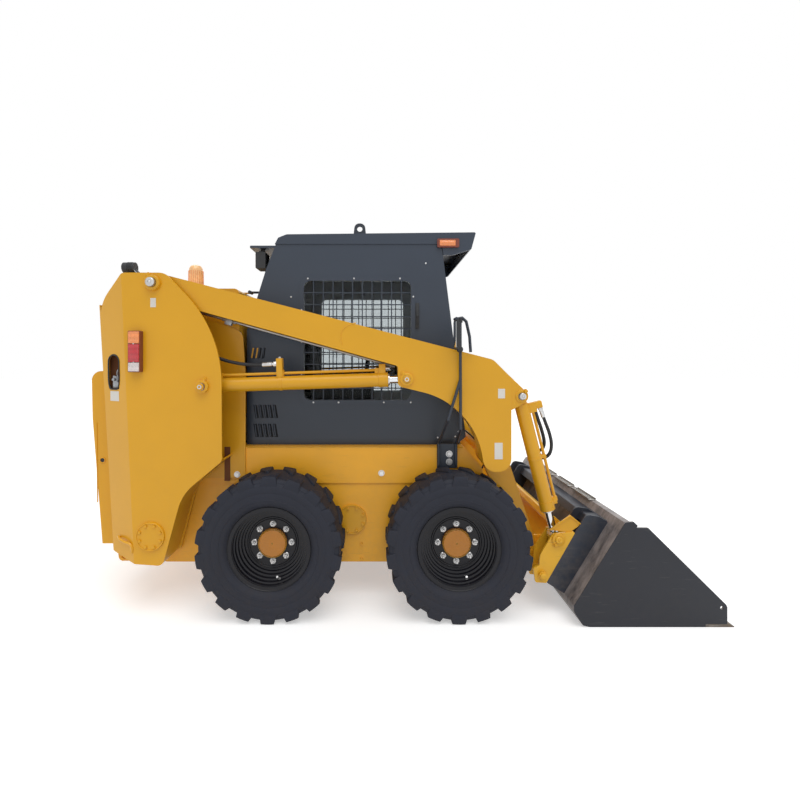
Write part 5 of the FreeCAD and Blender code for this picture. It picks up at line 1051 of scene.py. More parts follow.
# ---------------------------------------------------------------- seat and controls
class LOADER_OT_seat(bpy.types.Operator):
    """Adds the sewn seat cushion and back"""
    bl_idname = "loader.seat"
    bl_label = "Seat"

    def pad(self, node, name, rise, front):
        """A stuffed pad from its solid's outline, swollen as cloth and drawn in along its seams."""
        source = NODES[node]
        piece = source.copy()
        piece.data = source.data.copy()
        piece.name = piece.data.name = name
        piece.parent = None
        bpy.context.collection.objects.link(piece)
        cleaned(piece)
        low, high = node_box(node)
        middle = (low + high) / 2
        size = high - low
        for vertex in piece.data.vertices:
            for axis in range(3):
                shrink = (size[axis] - 2.0 * rise) / size[axis]
                vertex.co[axis] = middle[axis] + (vertex.co[axis] - middle[axis]) * shrink
        remesh = piece.modifiers.new("weave", "REMESH")
        remesh.mode = "VOXEL"
        remesh.voxel_size = 0.008
        apply_modifiers(piece)
        start = [vertex.co.copy() for vertex in piece.data.vertices]
        cloth = piece.modifiers.new("stuffing", "CLOTH")
        cloth.settings.use_pressure = True
        cloth.settings.uniform_pressure_force = 4.0
        cloth.settings.effector_weights.gravity = 0.0
        last = 20
        cloth.point_cache.frame_start, cloth.point_cache.frame_end = 1, last
        for number in range(1, last + 1):
            bpy.context.scene.frame_set(number)
        apply_modifiers(piece)
        bpy.context.scene.frame_set(1)
        for vertex, before in zip(piece.data.vertices, start):
            move = vertex.co - before
            if move.length > rise:
                vertex.co = before + move.normalized() * rise
        self.sewn(piece, middle, size, front)
        smooth = piece.modifiers.new("smooth", "CORRECTIVE_SMOOTH")
        smooth.iterations = 2
        smooth.use_only_smooth = True
        return apply_modifiers(piece)

    def sewn(self, piece, middle, size, front):
        """Draws the face in along two long seams and three cross channels."""
        long_axis = FORWARD if abs(front.z) > 0.5 else UP
        seam_y = size.y * 0.27
        seam_width = seam_depth = 0.009
        for vertex in piece.data.vertices:
            place = vertex.co - middle
            facing_out = place.dot(front) / (abs(size.dot(front)) / 2)
            if facing_out < 0.2:
                continue
            along, across = place.dot(long_axis), place.y
            reach = abs(size.dot(long_axis))
            gaps = [abs(abs(across) - seam_y)]
            if abs(across) < seam_y:
                gaps += [abs(along - reach * part) for part in (-0.24, 0.0, 0.24)]
            draw = sum(exp(-(gap / seam_width) ** 2) for gap in gaps)
            vertex.co -= front * seam_depth * min(draw, 1.2)

    def execute(self, context):
        sizes = context.scene.loader_sizes
        run = Vector((-0.18, 0, 0.98)).normalized()
        for node, name, front in (("seat_cushion", "seat_cushion_cover", UP),
                                  ("seat_back", "seat_back_cover", Vector((run.z, 0, -run.x)))):
            piece = self.pad(node, name, sizes.pad_rise, front)
            finished(piece, "machine", "Cushion Fabric", 60)
            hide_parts(node)
        return {"FINISHED"}


class LOADER_OT_controls(bpy.types.Operator):
    """Adds the armrest pads, the levers' boots and grips, the switches and the seat belt's buckle"""
    bl_idname = "loader.controls"
    bl_label = "Controls"

    def levers(self, x, y, top):
        """A folded boot at a lever's foot, and its grip with two buttons."""
        folds = []
        for number in range(5):
            radius = 0.04 - 0.006 * number
            folds += [(radius, 0.012 * number), (radius - 0.007, 0.012 * number + 0.006)]
        lean = Vector((0.03, 0, 0.2)).normalized()
        boot = turned("boot", [(0, -0.006), (0.046, -0.006), (0.046, 0.0), *folds, (0.01, 0.062), (0, 0.062)],
                      (x + 0.1705, y, top + 0.002), lean, 28)
        paired("lever_boots", boot, "machine", "Rubber Hose")
        foot = Vector((x + 0.198, y, 1.395))
        lean = Vector((0.014, 0, 0.095)).normalized()
        grip = turned("grip", [(0, -0.012), (0.017, -0.012), (0.0215, 0.0), (0.0205, 0.018), (0.0222, 0.036),
                               (0.0206, 0.054), (0.0228, 0.074), (0.025, 0.09), (0.0215, 0.101), (0, 0.104)],
                      foot, lean, 28)
        bumps = [turned("bump", [(0, 0), (0.006, 0), (0.005, 0.004), (0, 0.005)], foot + lean * 0.102
                        + Vector((0.004, offset, 0)), lean, 14) for offset in (-0.009, 0.009)]
        paired("lever_grips", joined("grips", [grip, *bumps]), "machine", "Moulded Plastic")

    def execute(self, context):
        x, y, top = -0.359, -0.315, 1.22        # the seat's middle, and the right console's middle and top
        pad = box("pad", (x - 0.145, y - 0.042, top - 0.002), (x + 0.105, y + 0.042, top + 0.024), 0.011, 4)
        paired("armrest_pads", pad, "machine", "Armrest Vinyl")
        self.levers(x, y, top)
        places = [shift((x + ahead, y - 0.024 + 0.024 * column, top + 0.001))
                  for ahead in (0.118, 0.205) for column in range(3)]
        key = box("key", (-0.007, -0.009, 0), (0.007, 0.009, 0.006), 0.0015)
        paired("switches", spread("keys", key, places), "machine", "Moulded Plastic")
        buckle = box("buckle", (-0.375, -0.262, 1.12), (-0.335, -0.246, 1.205), 0.004)
        web = plate("web", [(-0.372, -0.2545, 1.06), (-0.338, -0.2545, 1.06), (-0.338, -0.2545, 1.125),
                            (-0.372, -0.2545, 1.125)], (0, 0.0025, 0), 0.0006, 1)
        finished(joined("belt_buckle", [buckle, web]), "machine", "Moulded Plastic")
        return {"FINISHED"}


# ---------------------------------------------------------------- lift gear
BOOM_PIVOT = Vector((-1.307, 0, 1.799))
LIFT_BASE = Vector((-1.041, 0, 1.24))
LIFT_PIN = Vector((0.061, 0, 1.278))
TILT_BASE = Vector((0.69, 0, 1.185))
TILT_PIN = Vector((0.888, 0, 0.405))
COUPLER_PIVOT = Vector((0.8, 0, 0.214))
CYLINDER_Y = -0.65
TOWER_FACE = -0.74
ARM_FACE = -0.71


def at(place, y):
    return Vector((place.x, y, place.z))


def block(name, size, place, bevel=0.003):
    """A box about its middle, moved by a matrix."""
    half = Vector(size) / 2
    return moved(box(name, tuple(-half), tuple(half), bevel), place)


def barrel_ring(base, run, station, width, bore, radius):
    """A raised ring round a cylinder's barrel."""
    return turned("ring", [(bore, station), (radius, station + 0.001), (radius, station + width - 0.001),
                           (bore, station + width)], base, run, 48, ring=True)


def blank_plate(low_x, low_z, high_x, high_z, face):
    """A thin blank plate on a face of the right side."""
    return side_plate("plate", [(low_x, low_z), (high_x, low_z), (high_x, high_z), (low_x, high_z)],
                      face + 0.0002, face - 0.0012, 0.0005, 1)


class LOADER_OT_pin_keepers(bpy.types.Operator):
    """Adds the pins' end caps, some with grease nipples and some with rings, and their keeper tabs"""
    bl_idname = "loader.pin_keepers"
    bl_label = "Pin Keepers"

    def cap(self, radius):
        """A chamfered pin end with its nipple, up along Z."""
        disc = turned("cap", [(0, -0.002), (radius, -0.002), (radius, 0.001), (radius - 0.003, 0.004),
                              (radius * 0.45, 0.004), (radius * 0.4, 0.002), (0, 0.002)], steps=28)
        nipple = turned("nipple", [(0, 0), (0.005, 0), (0.005, 0.004), (0.0025, 0.006), (0.0035, 0.01),
                                   (0, 0.011)], steps=12)
        return joined("cap", [disc, nipple])

    def lift_cap(self, place):
        """The plain chamfered end of a lift cylinder's pin."""
        return turned("cap", [(0, -0.002), (0.0195, -0.002), (0.0195, 0.001), (0.0165, 0.004), (0, 0.004)],
                      place, RIGHT, 32)

    def lift_ring(self, place):
        """A thin ring on a lift cylinder's pin."""
        return turned("ring", [(0.006, 0), (0.0065, 0.003), (0.0115, 0.003), (0.012, 0)], place, RIGHT, 28,
                      ring=True)

    def washer(self, radius, place):
        inner, outer = radius + 0.003, radius + 0.017
        return turned("washer", [(inner, 0), (outer, 0), (outer, 0.004), (radius + 0.014, 0.006),
                                 (inner, 0.006)], place, RIGHT, 40, ring=True)

    def tab(self, width, reach):
        """A keeper tab with cut corners and its bolt. It hangs from the pin along -Y and faces +Z."""
        side, corner = width / 2, 0.006
        outline = [(-side, -reach + corner), (-side + corner, -reach), (side - corner, -reach),
                   (side, -reach + corner), (side, 0), (-side, 0)]
        tab = plate("tab", [(x, y, 0) for x, y in outline], (0, 0, 0.007), 0.0015)
        bolt = moved(bolt_head(0.016, 0.009), shift((0, -reach + 0.014, 0.006)))
        return joined("tab", [tab, bolt])

    def execute(self, context):
        caps = {"machine": [], "boom": [], "bucket": []}
        tabs = {"machine": [], "boom": [], "bucket": []}
        lift_caps = {"machine": [], "boom": []}
        lift_rings = {"machine": [], "boom": []}
        # body, pin, pin radius, face behind the tab, tab width, tab reach, tab's turn, face behind the washer
        pins = (("machine", BOOM_PIVOT, 0.023, TOWER_FACE, 0.026, 0.062, radians(30), -0.754),
                ("machine", LIFT_BASE, 0.018, TOWER_FACE, 0.024, 0.054, radians(-15), -0.754),
                ("boom", LIFT_PIN, 0.018, ARM_FACE, 0.024, 0.05, radians(30), -0.718),
                ("boom", TILT_BASE, 0.018, -0.705, 0.024, 0.046, radians(-35), -0.705),
                ("bucket", TILT_PIN, 0.018, -0.706, 0.024, 0.046, radians(150), -0.712))
        for body, place, radius, face, width, reach, turn, boss in pins:
            frame_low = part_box({"machine": "tower_pins", "boom": "boom_pins",
                                "bucket": "coupler_pins"}[body])[0]
            if place in (LIFT_BASE, LIFT_PIN):
                lift_caps[body].append(self.lift_cap(at(place, frame_low[1])))
                lift_rings[body].append(self.lift_ring(at(place, frame_low[1] - 0.004)))
            else:
                caps[body].append(moved(self.cap(radius), facing(at(place, frame_low[1]), RIGHT)))
            lean = Matrix.Rotation(turn + pi, 4, RIGHT)
            stand = shift(at(place, face)) @ lean @ Matrix.Rotation(radians(90), 4, "X")
            tabs[body].append(moved(self.tab(width, reach), stand))
            tabs[body].append(self.washer(radius, at(place, boss)))
        for body in caps:
            slot, finish = ("yellow_paint", "Coupler Paint With Painted Light") if body == "bucket" else ("steel", "Bright Zinc")
            paired("pin_caps_" + body, joined("caps", caps[body]), body, finish)
            paired("pin_keepers_" + body, joined("tabs", tabs[body]), body, "Yellow Paint")
        for body in lift_caps:
            lift_cap, lift_ring = joined("caps", lift_caps[body]), lift_rings[body]
            paired("lift_pin_caps_" + body, lift_cap, body, "Yellow Paint")
            paired("lift_pin_rings_" + body, joined("rings", lift_ring), body, "Bright Zinc")
        return {"FINISHED"}


def slope_y(x, z, out=0.0):
    """Where the tower's outer plate lies behind its crease, or a distance in front of it."""
    crease = -1.41 - 0.045 * (z - 0.3)
    return TOWER_FACE + 0.54 * (crease - x) - out


class LOADER_OT_towers(bpy.types.Operator):
    """Adds the towers' slot latches and edges, brown backs painted as the shade inside the slots, the blank
    plates and the round covers' bolts
    """
    bl_idname = "loader.towers"
    bl_label = "Towers"

    def slots(self):
        latch = joined("latch", [
            side_plate("hook", [(-1.562, 1.228), (-1.522, 1.228), (-1.522, 1.25), (-1.536, 1.262),
                                (-1.54, 1.292), (-1.562, 1.298)], -0.66, -0.67, 0.003),
            rod("pin", (-1.55, -0.69, 1.276), (-1.55, -0.655, 1.276), 0.008, 20, 0.002),
            hose("spring", [(-1.546, -0.662, 1.25), (-1.53, -0.668, 1.284), (-1.548, -0.66, 1.306),
                            (-1.536, -0.666, 1.33)], 0.003, 8)])
        paired("slot_latches", latch, "machine", "Galvanised")
        # a brown sheet behind each slot, painted shade of the slot's dark inside
        dark = side_plate("dark", [(-1.602, 1.205), (-1.492, 1.205), (-1.492, 1.43), (-1.602, 1.43)],
                          -0.628, -0.632, 0.001, 1)
        paired("slot_backs", dark, "machine", "Brown Painted Shade")
        middle, radius, shoulder = -1.543, 0.042, 1.37
        rim = [(-1.585, 1.224), (-1.585, shoulder)]
        rim += [(middle - radius * cos(a), shoulder + radius * sin(a))
                for a in [n * pi / 10 for n in range(1, 10)]]
        rim += [(-1.501, shoulder), (-1.501, 1.224), (middle, 1.2225)]
        edge = hose("edge", [(x, slope_y(x, z), z) for x, z in rim], 0.0045, 8, closed=True)
        paired("slot_edges", edge, "machine", "Rubber Hose", 60)

    def plates(self):
        corners = [(-1.572, 1.158), (-1.506, 1.158), (-1.506, 1.212), (-1.572, 1.212)]
        signs = [plate("plate", [(x, slope_y(x, z, -0.0002), z) for x, z in corners],
                       (-0.00067, -0.00123, -0.00003), 0.0004, 1),
                 blank_plate(-1.321, 1.667, -1.291, 1.717, TOWER_FACE)]
        paired("blank_tower_plates", joined("signs", signs), "machine", "Blank Plate")

    def cover_bolts(self):
        """Eight bolts and a raised rim on each round cover."""
        places, rings = [], []
        points = [vertex.co for vertex in NODES["side_covers"].data.vertices]
        count = 8
        for x, z, radius in ((-0.247, 0.454, 0.085), (-1.32, 0.434, 0.077)):
            face = min(point.y for point in points if abs(point.x - x) < 0.2)
            rim = [(radius - 0.007, 0), (radius - 0.006, 0.004), (radius - 0.001, 0.004), (radius, 0)]
            rings.append(turned("ring", rim, (x, face + 0.0002, z), RIGHT, 48, ring=True))
            bolt_circle = radius - 0.017
            for number in range(count):
                angle = 2 * pi * (number + 0.5) / count
                spot = (x + bolt_circle * cos(angle), face, z + bolt_circle * sin(angle))
                places.append(facing(spot, RIGHT, angle))
        heads = joined("cover bolts", [spread("heads", bolt_head(0.015, 0.008), places), *rings])
        paired("cover_bolts", heads, "machine", "Yellow Paint")

    def execute(self, context):
        self.slots()
        self.plates()
        self.cover_bolts()
        return {"FINISHED"}


class LOADER_OT_arms(bpy.types.Operator):
    """Adds the arms' lap welds, blank plates and pipe clamps, and the thin wires on the lower legs"""
    bl_idname = "loader.arms"
    bl_label = "Arms"

    def pipe_clamps(self):
        """Four clamps on the pipe inside each arm, and a union on the pipe under it."""
        pipe_y = -(0.59 - 0.0083)               # beside the arm's inner face
        start, end = Vector((-1.107, 0, 1.747)), Vector((0.48, 0, 1.33))
        lean = turned_to(FORWARD, end - start)
        clamps = []
        for part in (0.12, 0.36, 0.6, 0.84):
            spot = at(start.lerp(end, part), pipe_y)
            clamp = box("clamp", (-0.016, -0.0085, -0.022), (0.016, 0.011, 0.022), 0.003)
            clamps.append(moved(clamp, shift(spot) @ lean))
            clamps.append(moved(bolt_head(0.011, 0.006), facing(spot + ACROSS * 0.01, ACROSS)))
        under = Vector((-0.938, -0.6, 1.6063))
        run = Vector((1.376, 0, -0.383)).normalized()
        union = box("union", (-0.02, -0.016, -0.026), (0.02, 0.016, 0.009), 0.003)
        clamps.append(moved(union, shift(under) @ turned_to(FORWARD, run)))
        for way in (-1, 1):
            clamps.append(rod("nut", under + run * 0.019 * way, under + run * 0.04 * way, 0.0125, 6, 0.0015))
        paired("pipe_clamps", joined("clamps", clamps), "boom", "Galvanised")

    def execute(self, context):
        lap = hose("lap", [(-0.215, ARM_FACE, 1.585), (-0.262, ARM_FACE, 1.575), (-0.296, ARM_FACE, 1.54),
                           (-0.3, ARM_FACE, 1.5), (-0.29, ARM_FACE, 1.468)], 0.0035, 8)
        paired("arm_welds", lap, "boom", "Yellow Paint")
        signs = [blank_plate(0.559, 1.174, 0.597, 1.226, ARM_FACE),
                 blank_plate(0.54, 0.842, 0.584, 0.932, ARM_FACE)]
        paired("blank_arm_plates", joined("plates", signs), "boom", "Blank Plate")
        self.pipe_clamps()
        wire = hose("wire", [(0.395, -0.555, 0.985), (0.44, -0.566, 0.955), (0.5, -0.572, 0.88),
                             (0.52, -0.57, 0.8), (0.505, -0.56, 0.76)], 0.0045, 8)
        paired("leg_wires", wire, "boom", "Rubber Hose", 60)
        return {"FINISHED"}


class LOADER_OT_lift_cylinders(bpy.types.Operator):
    """Adds the lift cylinders' saddles, ports, gland rings, fittings and hoses"""
    bl_idname = "loader.lift_cylinders"
    bl_label = "Lift Cylinders"

    def fitting(self, start, end, radius=0.0115):
        """A hose's end: a nut, a neck and a crimped sleeve."""
        way = (end - start).normalized()
        reach = (end - start).length
        nut = rod("nut", start, start + way * 0.018, radius * 1.35, 6, 0.0015)
        sleeve = turned("sleeve", [(0, 0.018), (radius * 0.8, 0.018), (radius * 0.8, 0.024),
                                   (radius * 1.12, 0.026), (radius * 1.12, reach - 0.003),
                                   (radius * 1.02, reach), (0, reach)], start, way, 20)
        return joined("fitting", [nut, sleeve])

    def execute(self, context):
        run = (LIFT_PIN - LIFT_BASE).normalized()
        rise = Vector((-run.z, 0, run.x))            # to the top of the cylinder
        base = at(LIFT_BASE, CYLINDER_Y)
        length = (LIFT_PIN - LIFT_BASE).length - 0.101
        lean = turned_to(FORWARD, run)

        def spot(along, up):
            return base + run * along + rise * up

        saddle = block("saddle", (0.034, 0.05, 0.106), shift(spot(0.403, 0.086)) @ lean, 0.004)
        port = block("port", (0.036, 0.04, 0.052), shift(spot(0.972, 0.062)) @ lean)
        rings = [barrel_ring(base, run, station, width, 0.0388, radius)
                 for station, width, radius in (
                     (length - 0.052, 0.01, 0.0415), (length - 0.012, 0.01, 0.0415),
                     (0.052, 0.008, 0.0405), (0.396, 0.018, 0.0415))]
        yellow = joined("lines", [saddle, port, *rings])
        paired("lift_cylinder_lines", yellow, "lift_barrels", "Yellow Paint")
        metal = [self.fitting(spot(0.385, 0.108), spot(0.306, 0.106)),
                 rod("nut", spot(0.984, 0.064), spot(1.000, 0.062), 0.0105, 6, 0.0015),
                 rod("sleeve", spot(0.999, 0.062), spot(1.014, 0.061), 0.0088, 20, 0.0015),
                 turned("wiper", [(0.0232, 0), (0.0335, 0), (0.0345, 0.005), (0.0335, 0.01), (0.0232, 0.01)],
                        spot(length, 0), run, 40, ring=True),
                 moved(bolt_head(0.014, 0.008), facing(spot(0.403, 0.139), rise))]
        paired("lift_cylinder_fittings", joined("fittings", metal), "lift_barrels", "Bright Zinc")
        supply = hose("supply", [spot(0.308, 0.106), spot(0.27, 0.106), spot(0.2, 0.112), spot(0.12, 0.13),
                                 spot(0.06, 0.152), spot(0.01, 0.17)], context.scene.loader_sizes.hose_radius)
        bend = hose("bend", [spot(1.008, 0.0615), spot(1.024, 0.06), spot(1.037, 0.054), spot(1.039, 0.043),
                             spot(1.026, 0.035), spot(0.998, 0.031)], 0.007)
        hoses = joined("hoses", [supply, bend])
        paired("lift_cylinder_hoses", hoses, "lift_barrels", "Rubber Hose", 60)
        return {"FINISHED"}


class LOADER_OT_tilt_cylinders(bpy.types.Operator):
    """Adds the tilt cylinders' ports, saddles, gland rings, fittings and hoses"""
    bl_idname = "loader.tilt_cylinders"
    bl_label = "Tilt Cylinders"

    def execute(self, context):
        run = (TILT_PIN - TILT_BASE).normalized()
        rise = Vector((-run.z, 0, run.x))            # to the front of the cylinder
        base = at(TILT_BASE, CYLINDER_Y)
        length = (TILT_PIN - TILT_BASE).length - 0.151
        lean = Matrix.Rotation(FORWARD.angle(run), 4, "Y")

        def spot(along, out=0.0, aside=0.0):
            return base + run * along + rise * out + ACROSS * aside

        rings = [barrel_ring(base, run, station, width, 0.0378, 0.0402)
                 for station, width in ((length - 0.05, 0.01), (length - 0.012, 0.009), (0.352, 0.014))]
        parts = [block("top port", (0.04, 0.036, 0.078), shift(spot(0.074, 0.072)) @ lean, 0.005),
                 block("low port", (0.034, 0.036, 0.026), shift(spot(0.612, 0.045)) @ lean),
                 block("saddle", (0.02, 0.03, 0.03), shift(spot(0.359, 0.047)) @ lean), *rings]
        paired("tilt_cylinder_lines", joined("lines", parts), "tilt_barrels", "Yellow Paint")
        nuts = [rod("nut", spot(0.09, 0.098), spot(0.112, 0.1), 0.014, 6, 0.0015),
                rod("sleeve", spot(0.11, 0.1), spot(0.15, 0.103), 0.0118, 20, 0.002),
                rod("nut", spot(0.09, 0.068), spot(0.108, 0.068), 0.0115, 6, 0.0015),
                turned("wiper", [(0.0212, 0), (0.033, 0), (0.034, 0.005), (0.033, 0.009), (0.0212, 0.009)],
                       spot(length), run, 40, ring=True)]
        paired("tilt_cylinder_fittings", joined("nuts", nuts), "tilt_barrels", "Bright Zinc")
        outer = [spot(0.146, 0.103), spot(0.18, 0.106), spot(0.24, 0.114), spot(0.31, 0.112),
                 spot(0.366, 0.088, 0.008), spot(0.386, 0.05, 0.046), spot(0.36, 0.014, 0.064),
                 spot(0.29, 0.002, 0.06), spot(0.2, 0.000, 0.056), spot(0.15, -0.004, 0.052)]
        inner = [spot(0.108, 0.068), spot(0.15, 0.072, 0.006), spot(0.22, 0.084, 0.026),
                 spot(0.3, 0.086, 0.034), spot(0.34, 0.066, 0.052), spot(0.345, 0.03, 0.078),
                 spot(0.3, 0.006, 0.086), spot(0.2, 0.000, 0.08), spot(0.15, -0.004, 0.076)]
        hoses = [hose("hose", line, context.scene.loader_sizes.hose_radius) for line in (outer, inner)]
        paired("tilt_cylinder_hoses", joined("hoses", hoses), "tilt_barrels", "Rubber Hose", 60)
        return {"FINISHED"}


class LOADER_OT_coupler(bpy.types.Operator):
    """Adds the coupler's folded guards and pin nuts"""
    bl_idname = "loader.coupler"
    bl_label = "Coupler"

    def execute(self, context):
        guard = side_plate("guard", [(0.843, 0.455), (0.956, 0.536), (1.018, 0.486), (1.015, 0.479),
                                     (0.9555, 0.526), (0.85, 0.45)], -0.705, -0.6925, 0.0015)
        web = side_plate("web", [(0.85, 0.452), (0.9555, 0.528), (1.013, 0.481), (0.956, 0.44)], -0.699,
                         -0.694, 0.001, 1)
        paired("coupler_guards", joined("guards", [guard, web]), "bucket", "Yellow Paint")
        head = joined("nut", [rod("washer", (0, 0, 0), (0, 0, 0.003), 0.021, 24),
                              rod("hex", (0, 0, 0.003), (0, 0, 0.01), 0.0165, 6, 0.0015)])
        nuts = moved(head, facing((COUPLER_PIVOT.x, -0.7225, COUPLER_PIVOT.z), RIGHT, 0.2))
        paired("coupler_nuts", nuts, "bucket", "Coupler Paint With Painted Light")
        return {"FINISHED"}


class LOADER_OT_bucket(bpy.types.Operator):
    """Adds the cutting edge's bolts and the step grips along the bucket's top edge"""
    bl_idname = "loader.bucket"
    bl_label = "Bucket"

    def grip(self):
        """A folded step with two rows of raised teeth, 0.26 m long, up along Z from the origin."""
        side, end = 0.022, 0.13
        step = plate("step", [(-side, -end, 0), (side, -end, 0), (side, end, 0), (-side, end, 0)],
                     (0, 0, 0.004), 0.001, 1)
        lips = [box("lip", (x - 0.0015, -end, 0), (x + 0.0015, end, 0.012), 0.0008, 1)
                for x in (-side, side)]
        tooth = turned("tooth", [(0.0042, 0.003), (0.0075, 0.003), (0.006, 0.009), (0.0048, 0.009)], steps=10,
                       ring=True)
        teeth = spread("teeth", tooth, [shift((x, -0.112 + 0.028 * n, 0))
                                        for n in range(9) for x in (-0.011, 0.011)])
        return joined("grip", [step, *lips, teeth])

    def execute(self, context):
        low, high = node_box("cutting_edge")
        count = 9
        inset = 0.085                    # from the edge's end to its first bolt
        span = high.y - low.y - 2 * inset
        places = [facing((high.x - 0.082, low.y + inset + span * number / (count - 1), high.z), UP)
                  for number in range(count)]
        plow = turned("plow", [(0, -0.001), (0.013, -0.001), (0.013, 0.002), (0.01, 0.0045), (0, 0.005)],
                      steps=20)
        finished(spread("edge_bolts", plow, places), "bucket", "Worn Edge Steel")
        rail = [vertex.co for vertex in NODES["bucket_shell"].data.vertices
                if abs(vertex.co.y) < 0.829 and vertex.co.x < 1.225]
        top = max(point.z for point in rail)
        ends = [point.x for point in rail if point.z > top - 0.0004]
        middle = Vector(((max(ends) + min(ends)) / 2, 0, top - 0.0005))
        places = [shift(middle + ACROSS * y) for y in (-0.315, 0.0, 0.315)]
        grips = spread("grips", self.grip(), places)
        finished(grips, "bucket", "Plated Steel")
        return {"FINISHED"}


# ---------------------------------------------------------------- cab and body
class LOADER_OT_cab_trim(bpy.types.Operator):
    """Adds the screws, louvres, vent slots and window latches on the cab's sides"""
    bl_idname = "loader.cab_trim"
    bl_label = "Cab Trim"

    def louvre(self, width, height, lean, depth):
        """A pressed louvre, drawn in side view, whose face narrows towards its front edge."""
        piece = plate("louvre", [(0, 0, 0), (width, 0, 0), (width + lean, 0, height), (lean, 0, height)],
                      RIGHT * depth)
        pick(piece, lambda face: face.normal.y < -0.9)
        bpy.ops.transform.resize(value=(0.55, 1.0, 0.88), center_override=(width + lean / 2, 0, height / 2))
        object_mode()
        return bevelled(piece, 0.0018, 2)

    def slit(self, x, z, width, height, lean, face, proud):
        """A thin leaning plate where the cab's side has an opening."""
        top = z + height
        return side_plate("slit", [(x, z), (x + width, z), (x + width + lean, top), (x + lean, top)],
                          face + 0.0004, face - proud)

    def screws(self, side_y, guard_y):
        guard_low, guard_high = node_box("window_guards")
        edge = 0.013
        spots = [(x, guard_y, guard_high.z - edge) for x in (-0.5125, -0.238, 0.036)]
        spots += [(x, guard_y, guard_low.z + edge) for x in (-0.48, -0.33, -0.06, 0.1)]
        spots += [(guard_low.x + edge, guard_y, z) for z in (1.3, 1.49, 1.68)]
        spots += [(guard_high.x - edge, guard_y, z) for z in (1.3, 1.49, 1.76)]
        spots += [(-0.614, side_y, 1.759), (-0.614, side_y, 1.25), (0.262, side_y, 0.92),
                  (0.366, side_y, 0.926), (0.386, side_y, 0.956), (0.4, side_y, 1.012), (0.19, side_y, 1.96)]
        screws = spread("screws", pan_head(0.0058, 0.0035), [facing(spot, RIGHT) for spot in spots])
        paired("cab_screws", screws, "machine", "Bright Zinc")

    def vents(self, side_y):
        """Two rows of louvres low on the side, and a group of slats and slots higher up, with near-black
        slits of painted shade in the openings.
        """
        columns = [-0.826 + 0.0285 * number for number in range(5)]
        foot, height, lean = 1.395, 0.06, 0.01         # of the higher group
        # near-black slits painted as the shade in the openings behind the louvres and beside the slats
        holes = [self.slit(x + 0.0135, z, 0.008, 0.078, -0.014, side_y, 0.001)
                 for x in columns for z in (0.924, 1.037)]
        holes += [self.slit(x, foot, 0.0075, height, lean, side_y, 0.0012) for x in (-0.806, -0.782)]
        paired("cab_louvre_holes", joined("holes", holes), "machine", "Painted Opening Shade")
        louvres = spread("louvres", self.louvre(0.013, 0.08, -0.014, 0.008),
                         [shift((x, side_y, z)) for z in (0.923, 1.036) for x in columns])
        slats = spread("slats", self.louvre(0.01, 0.068, 0.012, 0.007),
                       [shift((-0.842 + 0.026 * number, side_y, 1.391)) for number in range(3)])
        paired("cab_louvres", joined("louvres", [louvres, slats]), "machine", "Cab Paint")
        slots = [self.slit(x, foot, 0.0085, height, lean, side_y, 0.0012) for x in (-0.853, -0.827)]
        paired("cab_vent_slots", joined("slots", slots), "machine", "Yellow Paint")

    def execute(self, context):
        side_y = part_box("cab_side_right")[0][1]
        guard_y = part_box("window_guards")[0][1]
        self.screws(side_y, guard_y)
        self.vents(side_y)
        latch = joined("latch", [
            box("back", (0.128, guard_y - 0.006, 1.57), (0.15, guard_y + 0.001, 1.722), 0.002),
            box("slide", (0.131, guard_y - 0.013, 1.6), (0.147, guard_y - 0.005, 1.69), 0.003),
            rod("knob", (0.139, guard_y - 0.012, 1.645), (0.139, guard_y - 0.027, 1.645), 0.008, 20, 0.002)])
        paired("window_latches", latch, "machine", "Moulded Plastic")
        return {"FINISHED"}


DOOR_SLOPE = 0.1263              # how far the front door leans back for each metre up
DOOR_FOOT = 1.04


def door_face(z, out=0.0):
    """The front door glass's outer face at a height, or a distance in front of it."""
    return 0.403 - DOOR_SLOPE * (z - DOOR_FOOT) + out


